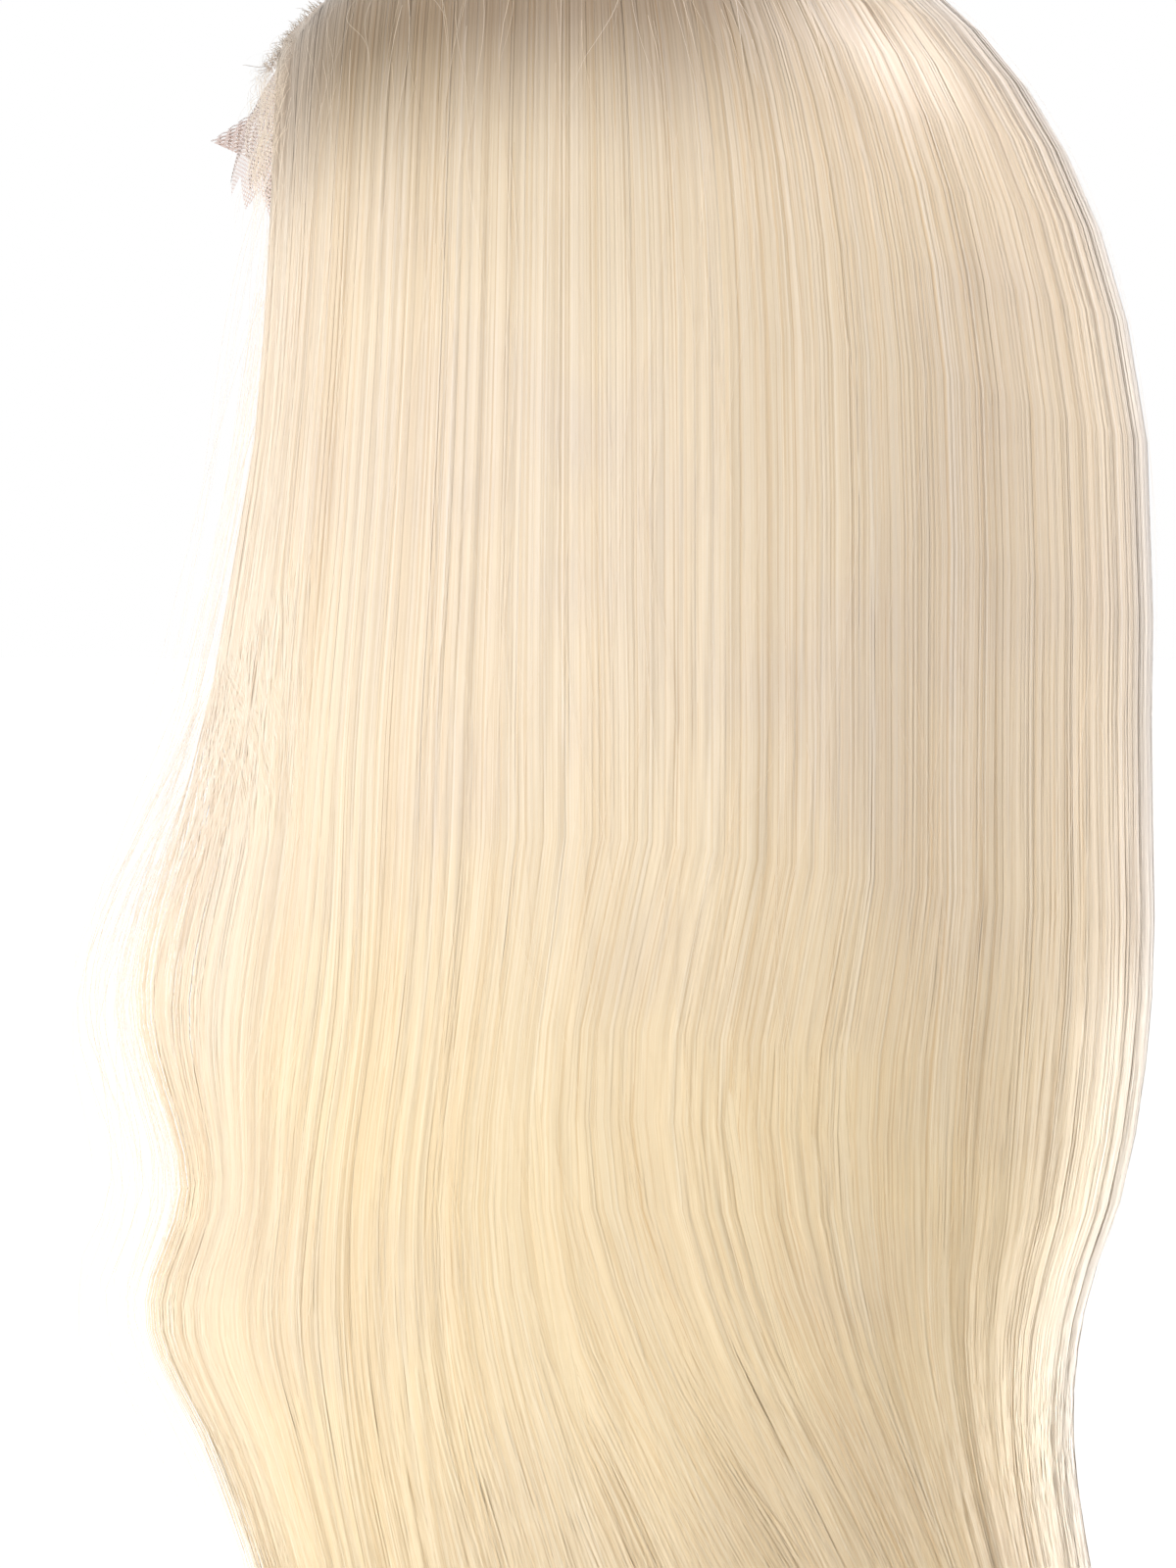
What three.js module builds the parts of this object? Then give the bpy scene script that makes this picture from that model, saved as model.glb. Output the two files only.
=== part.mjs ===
// Lace front wig: a net cap, a sheer lace panel along the hairline with a pinked front edge, a band
// round the nape, and long pale hair that falls to both sides of a centre part. The hair is built
// as locks fused to a backing that lies on the cap, in pieces that follow each other from the left
// of the face, round the back, to the right of the face.
// Millimetres, +Z up. The wearer faces -Y and their left is +X. The origin is the inside of the cap
// at the crown, where the wig sits on the head.
import * as THREE from "three";

// The head that the cap fits, measured from the crown point and from the widest level below it.
const HEAD_FRONT = 107;
const HEAD_BACK = 92;
const HEAD_HALF_WIDTH = 77;
const CROWN_HEIGHT = 88;
const NAPE_DEPTH = 142;
const HEAD_POWER = 2.4;

// Walls, and the gap that neighbouring pieces keep.
const CAP_WALL = 1.5;
const LACE_WALL = 1;
const NAPE_BAND_WALL = 1.2;
const NAPE_BAND_HEIGHT = 12;
const SEAM_GAP = 0.3;
const HAIR_SEAT_GAP = 1;

// The pinked edge of the lace. The middle tooth is bent away from the forehead.
const TOOTH_COUNT = 21;
const TOOTH_DEPTH = 8;
const TOOTH_VALLEY = 1;
const TOOTH_FLARE = 10.5;
const TOOTH_FOLD = 12.5;

// The hair: how far it stands out from the head, how far it hangs and how deep the curtain is.
const HAIR_TOP = 6;
const HAIR_SIDE = 27;
const HAIR_BACK = 46;
const HAIR_FACE_SETBACK = 8;
const HAIR_LENGTH = 500;
const HAIR_DEPTH = 24;
const PART_LENGTH = 96;
const WHORL_RADIUS = 5;
const FRINGE_WIDTH = 0.2;
const ROOT_HEIGHT = 1.2;
const LOCK_RELIEF = 5;
const LOCK_NOTCH = 46;
const EVEN_SHARE = 0.72;
const TIP_STAGGER = 26;
const TIP_DEPTH = 3;

// Where the cap and the lace end, as angles down from the crown at a bearing from the forehead. The
// lace fills the space between the cap and its own edge, from one sideburn to the other.
const LACE_END_BEARING = 82;
const CAP_RIM = [
  { bearing: 0, down: 7 },
  { bearing: 15, down: 12 },
  { bearing: 30, down: 22 },
  { bearing: 45, down: 36 },
  { bearing: 60, down: 56 },
  { bearing: 72, down: 80 },
  { bearing: 80, down: 94 },
  { bearing: 88, down: 97 },
  { bearing: 98, down: 94 },
  { bearing: 112, down: 105 },
  { bearing: 130, down: 117 },
  { bearing: 155, down: 123 },
  { bearing: 180, down: 124 },
];
const LACE_EDGE = [
  { bearing: 0, down: 72 },
  { bearing: 20, down: 77 },
  { bearing: 40, down: 83 },
  { bearing: 55, down: 89 },
  { bearing: 68, down: 97 },
  { bearing: 76, down: 107 },
  { bearing: 82, down: 111 },
];

// How the hair falls, from the edge beside the face (around 0) to the middle of the back (around 1).
// The last row mirrors the one before the middle, so the back is smooth. rootSide is a share of the
// whorl's radius and rootReach of the part's length. side and reach are where the hair hangs, as
// shares of the hair's half width and of its reach to the front (negative) or the back.
const FALL = [
  { around: 0.0, rootSide: 0.35, rootReach: -1.0, side: 0.62, reach: -1.0 },
  { around: 0.15, rootSide: 0.35, rootReach: -0.72, side: 0.88, reach: -0.72 },
  { around: 0.3, rootSide: 0.35, rootReach: -0.42, side: 0.985, reach: -0.36 },
  { around: 0.45, rootSide: 0.4, rootReach: -0.12, side: 1.0, reach: 0.04 },
  { around: 0.58, rootSide: 0.6, rootReach: 0.005, side: 0.96, reach: 0.33 },
  { around: 0.72, rootSide: 0.5, rootReach: 0.03, side: 0.8, reach: 0.64 },
  { around: 0.86, rootSide: 0.3, rootReach: 0.04, side: 0.48, reach: 0.885 },
  { around: 1.0, rootSide: 0.0, rootReach: 0.045, side: 0.0, reach: 1.0 },
  { around: 1.14, rootSide: -0.3, rootReach: 0.04, side: -0.48, reach: 0.885 },
];

// How the hair rises over the head and how thick it is there. lift is a share of the hair's height
// over the crown, turn is how far down the hair turns to hang, as a share of its length, and power is
// how square its curve over the head is. depth is a share of the hair's depth.
const RISE = [
  { around: 0.0, lift: 0.3, turn: 0.4, power: 3.4, depth: 0.12 },
  { around: 0.15, lift: 0.55, turn: 0.32, power: 2.7, depth: 0.5 },
  { around: 0.3, lift: 0.85, turn: 0.28, power: 2.3, depth: 0.85 },
  { around: 0.45, lift: 1.0, turn: 0.27, power: 2.2, depth: 1.0 },
  { around: 0.58, lift: 1.0, turn: 0.29, power: 2.3, depth: 1.0 },
  { around: 0.72, lift: 1.0, turn: 0.32, power: 2.35, depth: 1.0 },
  { around: 0.86, lift: 1.0, turn: 0.35, power: 2.35, depth: 1.0 },
  { around: 1.0, lift: 1.0, turn: 0.36, power: 2.35, depth: 1.0 },
  { around: 1.14, lift: 1.0, turn: 0.35, power: 2.35, depth: 1.0 },
];

// How the hanging curtain changes on its way down. down is a share of the hair's length. front, back
// and width are shares of the curtain's reach and half width, depth of its depth. fringe is how far
// the thin edge beside the face waves out beyond front. swing moves the front locks and sweep the
// back ones along the curtain, as shares of the way round to the back.
const LEVELS = [
  { down: 0, front: 0.875, fringe: 0, back: 1, width: 1, depth: 2.4, swing: 0, sweep: 0 },
  { down: 0.18, front: 0.9, fringe: 0, back: 1, width: 1, depth: 2.2, swing: 0, sweep: 0 },
  { down: 0.3, front: 0.955, fringe: 0, back: 1, width: 1, depth: 1.5, swing: 0, sweep: 0 },
  { down: 0.42, front: 1, fringe: 0.075, back: 0.995, width: 1, depth: 1, swing: -0.01, sweep: 0 },
  { down: 0.55, front: 0.99, fringe: 0.26, back: 1, width: 0.99, depth: 0.9, swing: -0.028, sweep: -0.01 },
  { down: 0.65, front: 1, fringe: 0.12, back: 0.955, width: 0.97, depth: 0.85, swing: -0.055, sweep: 0.015 },
  { down: 0.72, front: 1, fringe: 0.21, back: 0.875, width: 0.95, depth: 0.75, swing: -0.058, sweep: 0.06 },
  { down: 0.79, front: 0.98, fringe: 0.08, back: 0.85, width: 0.95, depth: 0.65, swing: -0.045, sweep: 0.11 },
  { down: 0.87, front: 0.93, fringe: 0, back: 0.89, width: 0.97, depth: 0.5, swing: -0.018, sweep: 0.145 },
  { down: 0.94, front: 0.91, fringe: 0, back: 0.94, width: 0.98, depth: 0.35, swing: 0, sweep: 0.15 },
  { down: 1, front: 0.9, fringe: 0, back: 0.96, width: 0.96, depth: 0.12, swing: 0.01, sweep: 0.15 },
];

// The stretches of hair, from the left of the face (0) round the back (1) to the right (2).
const HAIR_PIECES = [
  { name: "face_lock_left", from: 0, to: 0.085, locks: 1 },
  { name: "hair_front_left", from: 0.085, to: 0.335, locks: 3 },
  { name: "hair_side_left", from: 0.335, to: 0.665, locks: 4 },
  { name: "hair_back", from: 0.665, to: 1.335, locks: 8 },
  { name: "hair_side_right", from: 1.335, to: 1.665, locks: 4 },
  { name: "hair_front_right", from: 1.665, to: 1.915, locks: 3 },
  { name: "face_lock_right", from: 1.915, to: 2, locks: 1 },
];

// How finely the surfaces are divided.
const LACE_COLUMNS = 2 * TOOTH_COUNT;
const BACK_COLUMNS = 24;
const BAND_FIRST = LACE_COLUMNS + 6;
const BAND_COLUMNS = 12;
const CAP_ROWS = 6;
const LACE_ROWS = 5;
const LOCK_COLUMNS = 4;
const OVER_HEAD_ROWS = 9;
const ROW_CROWDING = 1.25;
const HANGING_ROWS = 8;
const TIP_ROWS = 4;
const HAIR_ROWS = OVER_HEAD_ROWS + HANGING_ROWS + TIP_ROWS;

const HALF_WIDTH = HEAD_HALF_WIDTH + HAIR_SIDE;
const FACE_REACH = HEAD_FRONT - HAIR_FACE_SETBACK;
const BACK_REACH = HEAD_BACK + HAIR_BACK;
const HEAD_CENTRE = new THREE.Vector3(0, 0, -CROWN_HEIGHT);
const GOLDEN_STEP = 0.618034;
const EDGE_STEP = 0.03;
const { degToRad, radToDeg, lerp, clamp, smoothstep } = THREE.MathUtils;

// One column of a table at a place between its rows, on a smooth curve through the rows.
function readColumn(table, key, place, column) {
  const last = table.length - 1;
  let i = 0;
  while (i < last - 1 && place > table[i + 1][key]) i++;
  const here = table[i];
  const next = table[i + 1];
  const before = table[Math.max(i - 1, 0)];
  const after = table[Math.min(i + 2, last)];
  const width = next[key] - here[key];
  const t = clamp((place - here[key]) / width, 0, 1);
  const leave = ((next[column] - before[column]) / (next[key] - before[key])) * width;
  const arrive = ((after[column] - here[column]) / (after[key] - here[key])) * width;
  const t2 = t * t;
  const t3 = t2 * t;
  return (
    (2 * t3 - 3 * t2 + 1) * here[column] +
    (t3 - 2 * t2 + t) * leave +
    (3 * t2 - 2 * t3) * next[column] +
    (t3 - t2) * arrive
  );
}

// How far a point is out from the head's centre, as a share of a head whose surface is moved out by
// an offset: 1 is on that surface.
function shareOfHead(point, offset) {
  const length = (point.y < HEAD_CENTRE.y ? HEAD_FRONT : HEAD_BACK) + offset;
  const height = (point.z > HEAD_CENTRE.z ? CROWN_HEIGHT : NAPE_DEPTH) + offset;
  const sum =
    Math.abs(point.x / (HEAD_HALF_WIDTH + offset)) ** HEAD_POWER +
    Math.abs(point.y / length) ** HEAD_POWER +
    Math.abs((point.z - HEAD_CENTRE.z) / height) ** HEAD_POWER;
  return sum ** (1 / HEAD_POWER);
}

// The point of that surface at a bearing from the forehead towards the left, and at an angle down
// from the crown, both in degrees.
function headPoint(bearing, down, offset) {
  const across = Math.sin(degToRad(down));
  const direction = new THREE.Vector3(
    Math.sin(degToRad(bearing)) * across,
    -Math.cos(degToRad(bearing)) * across,
    Math.cos(degToRad(down)),
  );
  const start = direction.clone().add(HEAD_CENTRE);
  return direction.divideScalar(shareOfHead(start, offset)).add(HEAD_CENTRE);
}

// The angle down from the crown that a length along the head's surface spans at a bearing.
function lengthAsAngle(bearing, down, length) {
  const radius = headPoint(bearing, down, 0).distanceTo(HEAD_CENTRE);
  return radToDeg(length / radius);
}

// A point, moved straight out from the head's centre where it would be under that surface.
function keepOutOfHead(point, offset) {
  const share = shareOfHead(point, offset);
  if (share < 1) point.sub(HEAD_CENTRE).divideScalar(share).add(HEAD_CENTRE);
  return point;
}

// A closed wall between two grids of points. outer and inner give the point at a column and a row.
// Columns run round the head from the left of the face, and rows run down.
function wallGeometry(columns, rows, outer, inner) {
  const positions = [];
  const index = [];
  const vertex = (layer, c, r) => (layer * (columns + 1) + c) * (rows + 1) + r;
  const quad = (a, b, c, d) => index.push(a, b, c, a, c, d);
  for (const side of [outer, inner])
    for (let c = 0; c <= columns; c++)
      for (let r = 0; r <= rows; r++) positions.push(...side(c, r).toArray());
  for (let c = 0; c < columns; c++)
    for (let r = 0; r < rows; r++) {
      quad(vertex(0, c, r), vertex(0, c, r + 1), vertex(0, c + 1, r + 1), vertex(0, c + 1, r));
      quad(vertex(1, c, r), vertex(1, c + 1, r), vertex(1, c + 1, r + 1), vertex(1, c, r + 1));
    }
  for (let c = 0; c < columns; c++) {
    quad(vertex(0, c, 0), vertex(0, c + 1, 0), vertex(1, c + 1, 0), vertex(1, c, 0));
    quad(vertex(0, c, rows), vertex(1, c, rows), vertex(1, c + 1, rows), vertex(0, c + 1, rows));
  }
  for (let r = 0; r < rows; r++) {
    quad(vertex(0, 0, r), vertex(1, 0, r), vertex(1, 0, r + 1), vertex(0, 0, r + 1));
    quad(
      vertex(0, columns, r),
      vertex(0, columns, r + 1),
      vertex(1, columns, r + 1),
      vertex(1, columns, r),
    );
  }
  return indexedGeometry(positions, index);
}

// A closed wall round the whole head, from the crown down to a rim.
function domeGeometry(columns, rows, outer, inner) {
  const positions = [...outer(0, 0).toArray(), ...inner(0, 0).toArray()];
  const index = [];
  const vertex = (layer, c, r) => 2 + (layer * columns + (c % columns)) * rows + r - 1;
  const quad = (a, b, c, d) => index.push(a, b, c, a, c, d);
  for (const side of [outer, inner])
    for (let c = 0; c < columns; c++)
      for (let r = 1; r <= rows; r++) positions.push(...side(c, r).toArray());
  for (let c = 0; c < columns; c++) {
    index.push(0, vertex(0, c, 1), vertex(0, c + 1, 1));
    index.push(1, vertex(1, c + 1, 1), vertex(1, c, 1));
    for (let r = 1; r < rows; r++) {
      quad(vertex(0, c, r), vertex(0, c, r + 1), vertex(0, c + 1, r + 1), vertex(0, c + 1, r));
      quad(vertex(1, c, r), vertex(1, c + 1, r), vertex(1, c + 1, r + 1), vertex(1, c, r + 1));
    }
    quad(vertex(0, c, rows), vertex(1, c, rows), vertex(1, c + 1, rows), vertex(0, c + 1, rows));
  }
  return indexedGeometry(positions, index);
}

function indexedGeometry(positions, index) {
  const geometry = new THREE.BufferGeometry();
  geometry.setAttribute("position", new THREE.Float32BufferAttribute(positions, 3));
  geometry.setIndex(index);
  geometry.computeVertexNormals();
  return geometry;
}

// The bearing of a column. The cap, the lace and the nape band share the columns, so their edges
// follow each other.
function columnBearing(column) {
  if (column <= LACE_COLUMNS) return LACE_END_BEARING * ((2 * column) / LACE_COLUMNS - 1);
  const back = (column - LACE_COLUMNS) / BACK_COLUMNS;
  return lerp(LACE_END_BEARING, 360 - LACE_END_BEARING, back);
}

function capRim(bearing) {
  return readColumn(CAP_RIM, "bearing", bearing > 180 ? 360 - bearing : Math.abs(bearing), "down");
}

// The net cap. It carries the rows of hair at the sides and back, and its front edge is sewn to the
// lace.
function capGeometry() {
  const side = (offset) => (column, row) => {
    const bearing = columnBearing(column);
    return headPoint(bearing, (capRim(bearing) * row) / CAP_ROWS, offset);
  };
  return domeGeometry(LACE_COLUMNS + BACK_COLUMNS, CAP_ROWS, side(CAP_WALL), side(0));
}

// The lace panel, from its seam with the cap to its pinked edge. Each tooth has one column at its
// tip and one in the valley beside it. The middle tooth is folded, and leans out like a beak.
function laceGeometry() {
  const side = (offset) => (column, row) => {
    const bearing = columnBearing(column);
    const edge = readColumn(LACE_EDGE, "bearing", Math.abs(bearing), "down");
    const seam = capRim(bearing) + lengthAsAngle(bearing, edge, SEAM_GAP);
    const isMiddle = column === LACE_COLUMNS / 2;
    const fold = isMiddle && row === LACE_ROWS - 1 ? lengthAsAngle(bearing, edge, TOOTH_FOLD) : 0;
    if (row < LACE_ROWS) return headPoint(bearing, lerp(seam, edge, row / (LACE_ROWS - 1)) - fold, offset);
    const isTip = column % 2 === 1;
    const lean = isMiddle ? 1 : 0;
    const reach = isTip ? TOOTH_DEPTH * (1 - 1.2 * lean) : TOOTH_VALLEY;
    const point = headPoint(bearing, edge + lengthAsAngle(bearing, edge, reach), offset);
    point.y -= isTip ? TOOTH_FLARE * lean : 0;
    point.z += isTip ? (offset - LACE_WALL / 2) * lean : 0;
    return point;
  };
  return wallGeometry(LACE_COLUMNS, LACE_ROWS, side(LACE_WALL), side(0));
}

// The elastic band that closes the cap round the nape, sewn to the cap's lower edge.
function napeBandGeometry() {
  const side = (offset) => (column, row) => {
    const bearing = columnBearing(BAND_FIRST + column);
    const rim = capRim(bearing);
    const length = SEAM_GAP + row * NAPE_BAND_HEIGHT;
    return headPoint(bearing, rim + lengthAsAngle(bearing, rim, length), offset);
  };
  return wallGeometry(BAND_COLUMNS, 1, side(NAPE_BAND_WALL), side(0));
}

// A bump that is 1 at its peak and fades to 0 at both ends.
function bump(place, start, peak, end) {
  return place < peak ? smoothstep(place, start, peak) : 1 - smoothstep(place, peak, end);
}

// Where the hair at a place round the head hangs, at a share of the hair's length below the crown.
function hangingPoint(around, down) {
  const level = (column) => readColumn(LEVELS, "down", down, column);
  const swung =
    around +
    level("swing") * bump(around, -0.1, 0.2, 0.45) +
    level("sweep") * bump(around, 0.28, 0.52, 1);
  const reach = readColumn(FALL, "around", swung, "reach");
  const fringe = level("fringe") * (1 - smoothstep(swung, 0, FRINGE_WIDTH));
  return new THREE.Vector3(
    readColumn(FALL, "around", swung, "side") * HALF_WIDTH * level("width"),
    reach * (reach < 0 ? FACE_REACH * level("front") : BACK_REACH * level("back")) - FACE_REACH * fringe,
    -down * HAIR_LENGTH,
  );
}

// A point of the hair's outer surface, without the relief of the locks, on the left half.
function fallPoint(around, row, length) {
  const fall = (column) => readColumn(FALL, "around", around, column);
  const rise = (column) => readColumn(RISE, "around", around, column);
  const root = new THREE.Vector3(
    fall("rootSide") * WHORL_RADIUS,
    fall("rootReach") * PART_LENGTH,
    HEAD_CENTRE.z + CROWN_HEIGHT / 2,
  );
  while (shareOfHead(root, CAP_WALL) < 1) root.z += 0.5;
  const turn = -rise("turn") * HAIR_LENGTH;
  const level = row - OVER_HEAD_ROWS;
  if (level > HANGING_ROWS) {
    return hangingPoint(around, lerp(EVEN_SHARE, length / HAIR_LENGTH, (level - HANGING_ROWS) / TIP_ROWS));
  }
  if (level > 0) return hangingPoint(around, lerp(-turn / HAIR_LENGTH, EVEN_SHARE, level / HANGING_ROWS));
  const angle = (Math.PI / 2) * (row / OVER_HEAD_ROWS) ** ROW_CROWDING;
  const out = Math.sin(angle) ** (2 / rise("power"));
  const up = Math.max(Math.cos(angle), 0) ** (2 / rise("power"));
  const top = root.z + HAIR_TOP * rise("lift");
  const z = lerp(turn, top, up);
  const hanging = hangingPoint(around, clamp(-z / HAIR_LENGTH, 0, 1));
  const growth = smoothstep(row, -0.4, 1.6);
  return new THREE.Vector3(
    lerp(root.x, hanging.x, out),
    lerp(root.y, hanging.y, out),
    row === 0 ? root.z + ROOT_HEIGHT + HAIR_SEAT_GAP : lerp(root.z + ROOT_HEIGHT, z, growth),
  );
}

// A point of the hair's outer or inner wall, at a turn from the left of the face round to the right.
// round is how far the lock swells there: 1 along its middle and 0 in the grooves beside it. stagger
// is how much shorter than the longest this lock is, as a share.
function hairPoint(isInner, turn, row, round, stagger) {
  const around = turn > 1 ? 2 - turn : turn;
  const length = HAIR_LENGTH - TIP_STAGGER * stagger - LOCK_NOTCH * (1 - round);
  const point = fallPoint(around, row, length);
  const down = clamp(-point.z / HAIR_LENGTH, 0, 1);
  const core = new THREE.Vector3(0, 0.4 * point.y, Math.min(point.z, HEAD_CENTRE.z));
  const inward = core.sub(point).normalize();
  const relief = LOCK_RELIEF * smoothstep(row, 0, HAIR_ROWS) ** 0.6 * (0.7 + 0.3 * stagger) * (1 - round);
  point.addScaledVector(inward, relief);
  if (isInner) {
    const share = readColumn(RISE, "around", around, "depth") * readColumn(LEVELS, "down", down, "depth");
    point.addScaledVector(inward, Math.max(HAIR_DEPTH * share - relief, TIP_DEPTH));
  }
  keepOutOfHead(point, CAP_WALL + HAIR_SEAT_GAP + (isInner ? 0 : ROOT_HEIGHT));
  if (turn > 1) point.x = -point.x;
  return point;
}

// One stretch of hair. Each lock is round across, with a groove on both sides, and ends in a point.
// Golden steps keep neighbouring locks unlike each other. Where two stretches meet, both edges are
// moved back from each other.
function hairGeometry(piece) {
  const columns = piece.locks * LOCK_COLUMNS;
  const surface = (isInner) => (column, row) => {
    const turn = lerp(piece.from, piece.to, column / columns);
    const across = (column % LOCK_COLUMNS) / LOCK_COLUMNS;
    if (across > 0) {
      const lock = Math.floor(column / LOCK_COLUMNS) + 10 * piece.from;
      return hairPoint(isInner, turn, row, Math.sin(Math.PI * across) ** 0.8, (lock * GOLDEN_STEP) % 1);
    }
    const point = hairPoint(isInner, turn, row, 0, 1);
    if ((column > 0 && column < columns) || turn === 0 || turn === 2) return point;
    const along = hairPoint(isInner, turn + EDGE_STEP, row, 0, 1);
    along.sub(hairPoint(isInner, turn - EDGE_STEP, row, 0, 1)).normalize();
    return point.addScaledVector(along, (column === 0 ? SEAM_GAP : -SEAM_GAP) / 2);
  };
  return wallGeometry(columns, HAIR_ROWS, surface(false), surface(true));
}

const hairMaterial = new THREE.MeshStandardMaterial({ color: "#ead6b0", roughness: 0.45, metalness: 0 });
const laceMaterial = new THREE.MeshStandardMaterial({ color: "#d9c2b6", roughness: 0.8, metalness: 0 });
const netMaterial = new THREE.MeshStandardMaterial({ color: "#dcc9ad", roughness: 0.85, metalness: 0 });
const elasticMaterial = new THREE.MeshStandardMaterial({ color: "#d2bd9d", roughness: 0.7, metalness: 0 });

function addMesh(group, name, geometry, material) {
  const mesh = new THREE.Mesh(geometry, material);
  mesh.name = name;
  group.add(mesh);
}

const wig = new THREE.Group();
addMesh(wig, "cap", capGeometry(), netMaterial);
addMesh(wig, "lace_front", laceGeometry(), laceMaterial);
addMesh(wig, "nape_band", napeBandGeometry(), elasticMaterial);
for (const piece of HAIR_PIECES) addMesh(wig, piece.name, hairGeometry(piece), hairMaterial);

export default wig;
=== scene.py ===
# A lace front wig, shown as it is worn: a net cap, a sheer lace panel with a pinked edge, a nape band
# and long pale hair from a centre part. Metres, +Z up. The wearer faces -Y and their left is +X.
import math

import bpy
import numpy as np
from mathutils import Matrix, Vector


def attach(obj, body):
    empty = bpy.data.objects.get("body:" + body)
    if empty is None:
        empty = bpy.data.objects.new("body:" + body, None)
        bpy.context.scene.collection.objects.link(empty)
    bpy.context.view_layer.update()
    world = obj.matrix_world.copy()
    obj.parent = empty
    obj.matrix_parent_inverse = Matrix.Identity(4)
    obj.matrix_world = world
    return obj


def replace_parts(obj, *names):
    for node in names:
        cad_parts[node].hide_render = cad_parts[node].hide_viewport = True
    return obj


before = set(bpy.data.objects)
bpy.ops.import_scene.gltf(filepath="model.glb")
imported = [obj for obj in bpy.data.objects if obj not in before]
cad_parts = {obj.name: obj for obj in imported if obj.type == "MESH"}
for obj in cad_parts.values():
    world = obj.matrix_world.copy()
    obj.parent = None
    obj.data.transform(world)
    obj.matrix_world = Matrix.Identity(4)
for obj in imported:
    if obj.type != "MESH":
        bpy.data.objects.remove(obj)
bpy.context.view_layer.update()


# The camera. It stands level with the middle of the hair at the wearer's left, a little behind, far
# enough away that the sides look flat. Top and ends run out of the picture, as in the photograph.
CAMERA_AZIMUTH = math.radians(97)
CAMERA_ELEVATION = math.radians(2)
CAMERA_DISTANCE = 1.6
PICTURE_HEIGHT = 0.416
SENSOR_MM = 36
LOOK_AT = Vector((0, -0.0117, -0.2239))


def direction_to(azimuth, elevation):
    """The direction of a place from the wig. Azimuth 0 is in front, and 90 at the wearer's left."""
    level = math.cos(elevation)
    return Vector((math.sin(azimuth) * level, -math.cos(azimuth) * level, math.sin(elevation)))


camera_data = bpy.data.cameras.new("camera")
camera_data.sensor_width = SENSOR_MM
camera_data.lens = SENSOR_MM * CAMERA_DISTANCE / PICTURE_HEIGHT
camera = bpy.data.objects.new("camera", camera_data)
towards_camera = direction_to(CAMERA_AZIMUTH, CAMERA_ELEVATION)
camera.location = LOOK_AT + CAMERA_DISTANCE * towards_camera
camera.rotation_euler = towards_camera.to_track_quat("Z", "Y").to_euler()
bpy.context.scene.collection.objects.link(camera)
bpy.context.scene.camera = camera


# The cap is a machine-made net, stretched over the head, with the hair sewn on in rows of wefts. The
# nape band is a ribbed elastic. Both are the model's own solids with the look of their cloth.
CAP_COLOUR = (0.72, 0.60, 0.44, 1)
WEFT_COLOUR = (0.60, 0.47, 0.31, 1)
NET_PITCH = 0.0016
NET_UNEVENNESS = 0.15
NET_ROUGHNESS = 0.85
WEFT_PITCH = 0.011
STITCH_LEVEL = 0.55
HOLE_SHADE = 0.7
CLOTH_RELIEF = 0.5
BAND_COLOUR = (0.62, 0.50, 0.36, 1)
BAND_ROUGHNESS = 0.75
RIB_PITCH = 0.0011


def new_material(name, roughness):
    """A material with one Principled shader, its nodes and its links."""
    material = bpy.data.materials.new(name)
    material.use_nodes = True
    nodes, links = material.node_tree.nodes, material.node_tree.links
    shader = nodes["Principled BSDF"]
    shader.inputs["Roughness"].default_value = roughness
    return material, nodes, links, shader


def math_node(nodes, links, operation, first, second=None):
    """A Math node fed by sockets or numbers. Gives its output socket."""
    node = nodes.new("ShaderNodeMath")
    node.operation = operation
    for socket, value in zip(node.inputs, (first, second)):
        if isinstance(value, (int, float)):
            socket.default_value = value
        elif value is not None:
            links.new(value, socket)
    return node.outputs[0]


def cloth_material(name, colour, line_colour, pitch, line_pitch, roughness):
    """Knitted cloth: a fine mesh of dots, crossed by level lines of stitching."""
    material, nodes, links, shader = new_material(name, roughness)
    place = nodes.new("ShaderNodeTexCoord").outputs["Object"]
    split = nodes.new("ShaderNodeSeparateXYZ")
    links.new(place, split.inputs[0])
    cells = nodes.new("ShaderNodeTexVoronoi")
    cells.inputs["Scale"].default_value = 1 / pitch
    cells.inputs["Randomness"].default_value = NET_UNEVENNESS
    links.new(place, cells.inputs["Vector"])
    level = math_node(nodes, links, "MULTIPLY", split.outputs["Z"], 2 * math.pi / line_pitch)
    wave = math_node(nodes, links, "SINE", level)
    line = math_node(nodes, links, "GREATER_THAN", wave, STITCH_LEVEL)
    mix = nodes.new("ShaderNodeMix")
    mix.data_type = "RGBA"
    mix.inputs["A"].default_value = colour
    mix.inputs["B"].default_value = line_colour
    dots = math_node(nodes, links, "SMOOTH_MIN", cells.outputs["Distance"], 1.0)
    holes = math_node(nodes, links, "MULTIPLY", dots, HOLE_SHADE)
    share = math_node(nodes, links, "MAXIMUM", holes, line)
    links.new(share, mix.inputs["Factor"])
    links.new(mix.outputs["Result"], shader.inputs["Base Color"])
    height = math_node(nodes, links, "SUBTRACT", line, cells.outputs["Distance"])
    bump = nodes.new("ShaderNodeBump")
    bump.inputs["Strength"].default_value = CLOTH_RELIEF
    bump.inputs["Distance"].default_value = pitch / 3
    links.new(height, bump.inputs["Height"])
    links.new(bump.outputs["Normal"], shader.inputs["Normal"])
    return material


def give_material(piece, material):
    """Puts the material in the piece's only slot."""
    piece.data.materials.clear()
    piece.data.materials.append(material)


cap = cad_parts["cap"]
cap_net = cloth_material("cap_net", CAP_COLOUR, WEFT_COLOUR, NET_PITCH, WEFT_PITCH, NET_ROUGHNESS)
give_material(cap, cap_net)
nape_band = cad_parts["nape_band"]
elastic = cloth_material("elastic", BAND_COLOUR, BAND_COLOUR, RIB_PITCH, RIB_PITCH * 2, BAND_ROUGHNESS)
give_material(nape_band, elastic)


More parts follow.
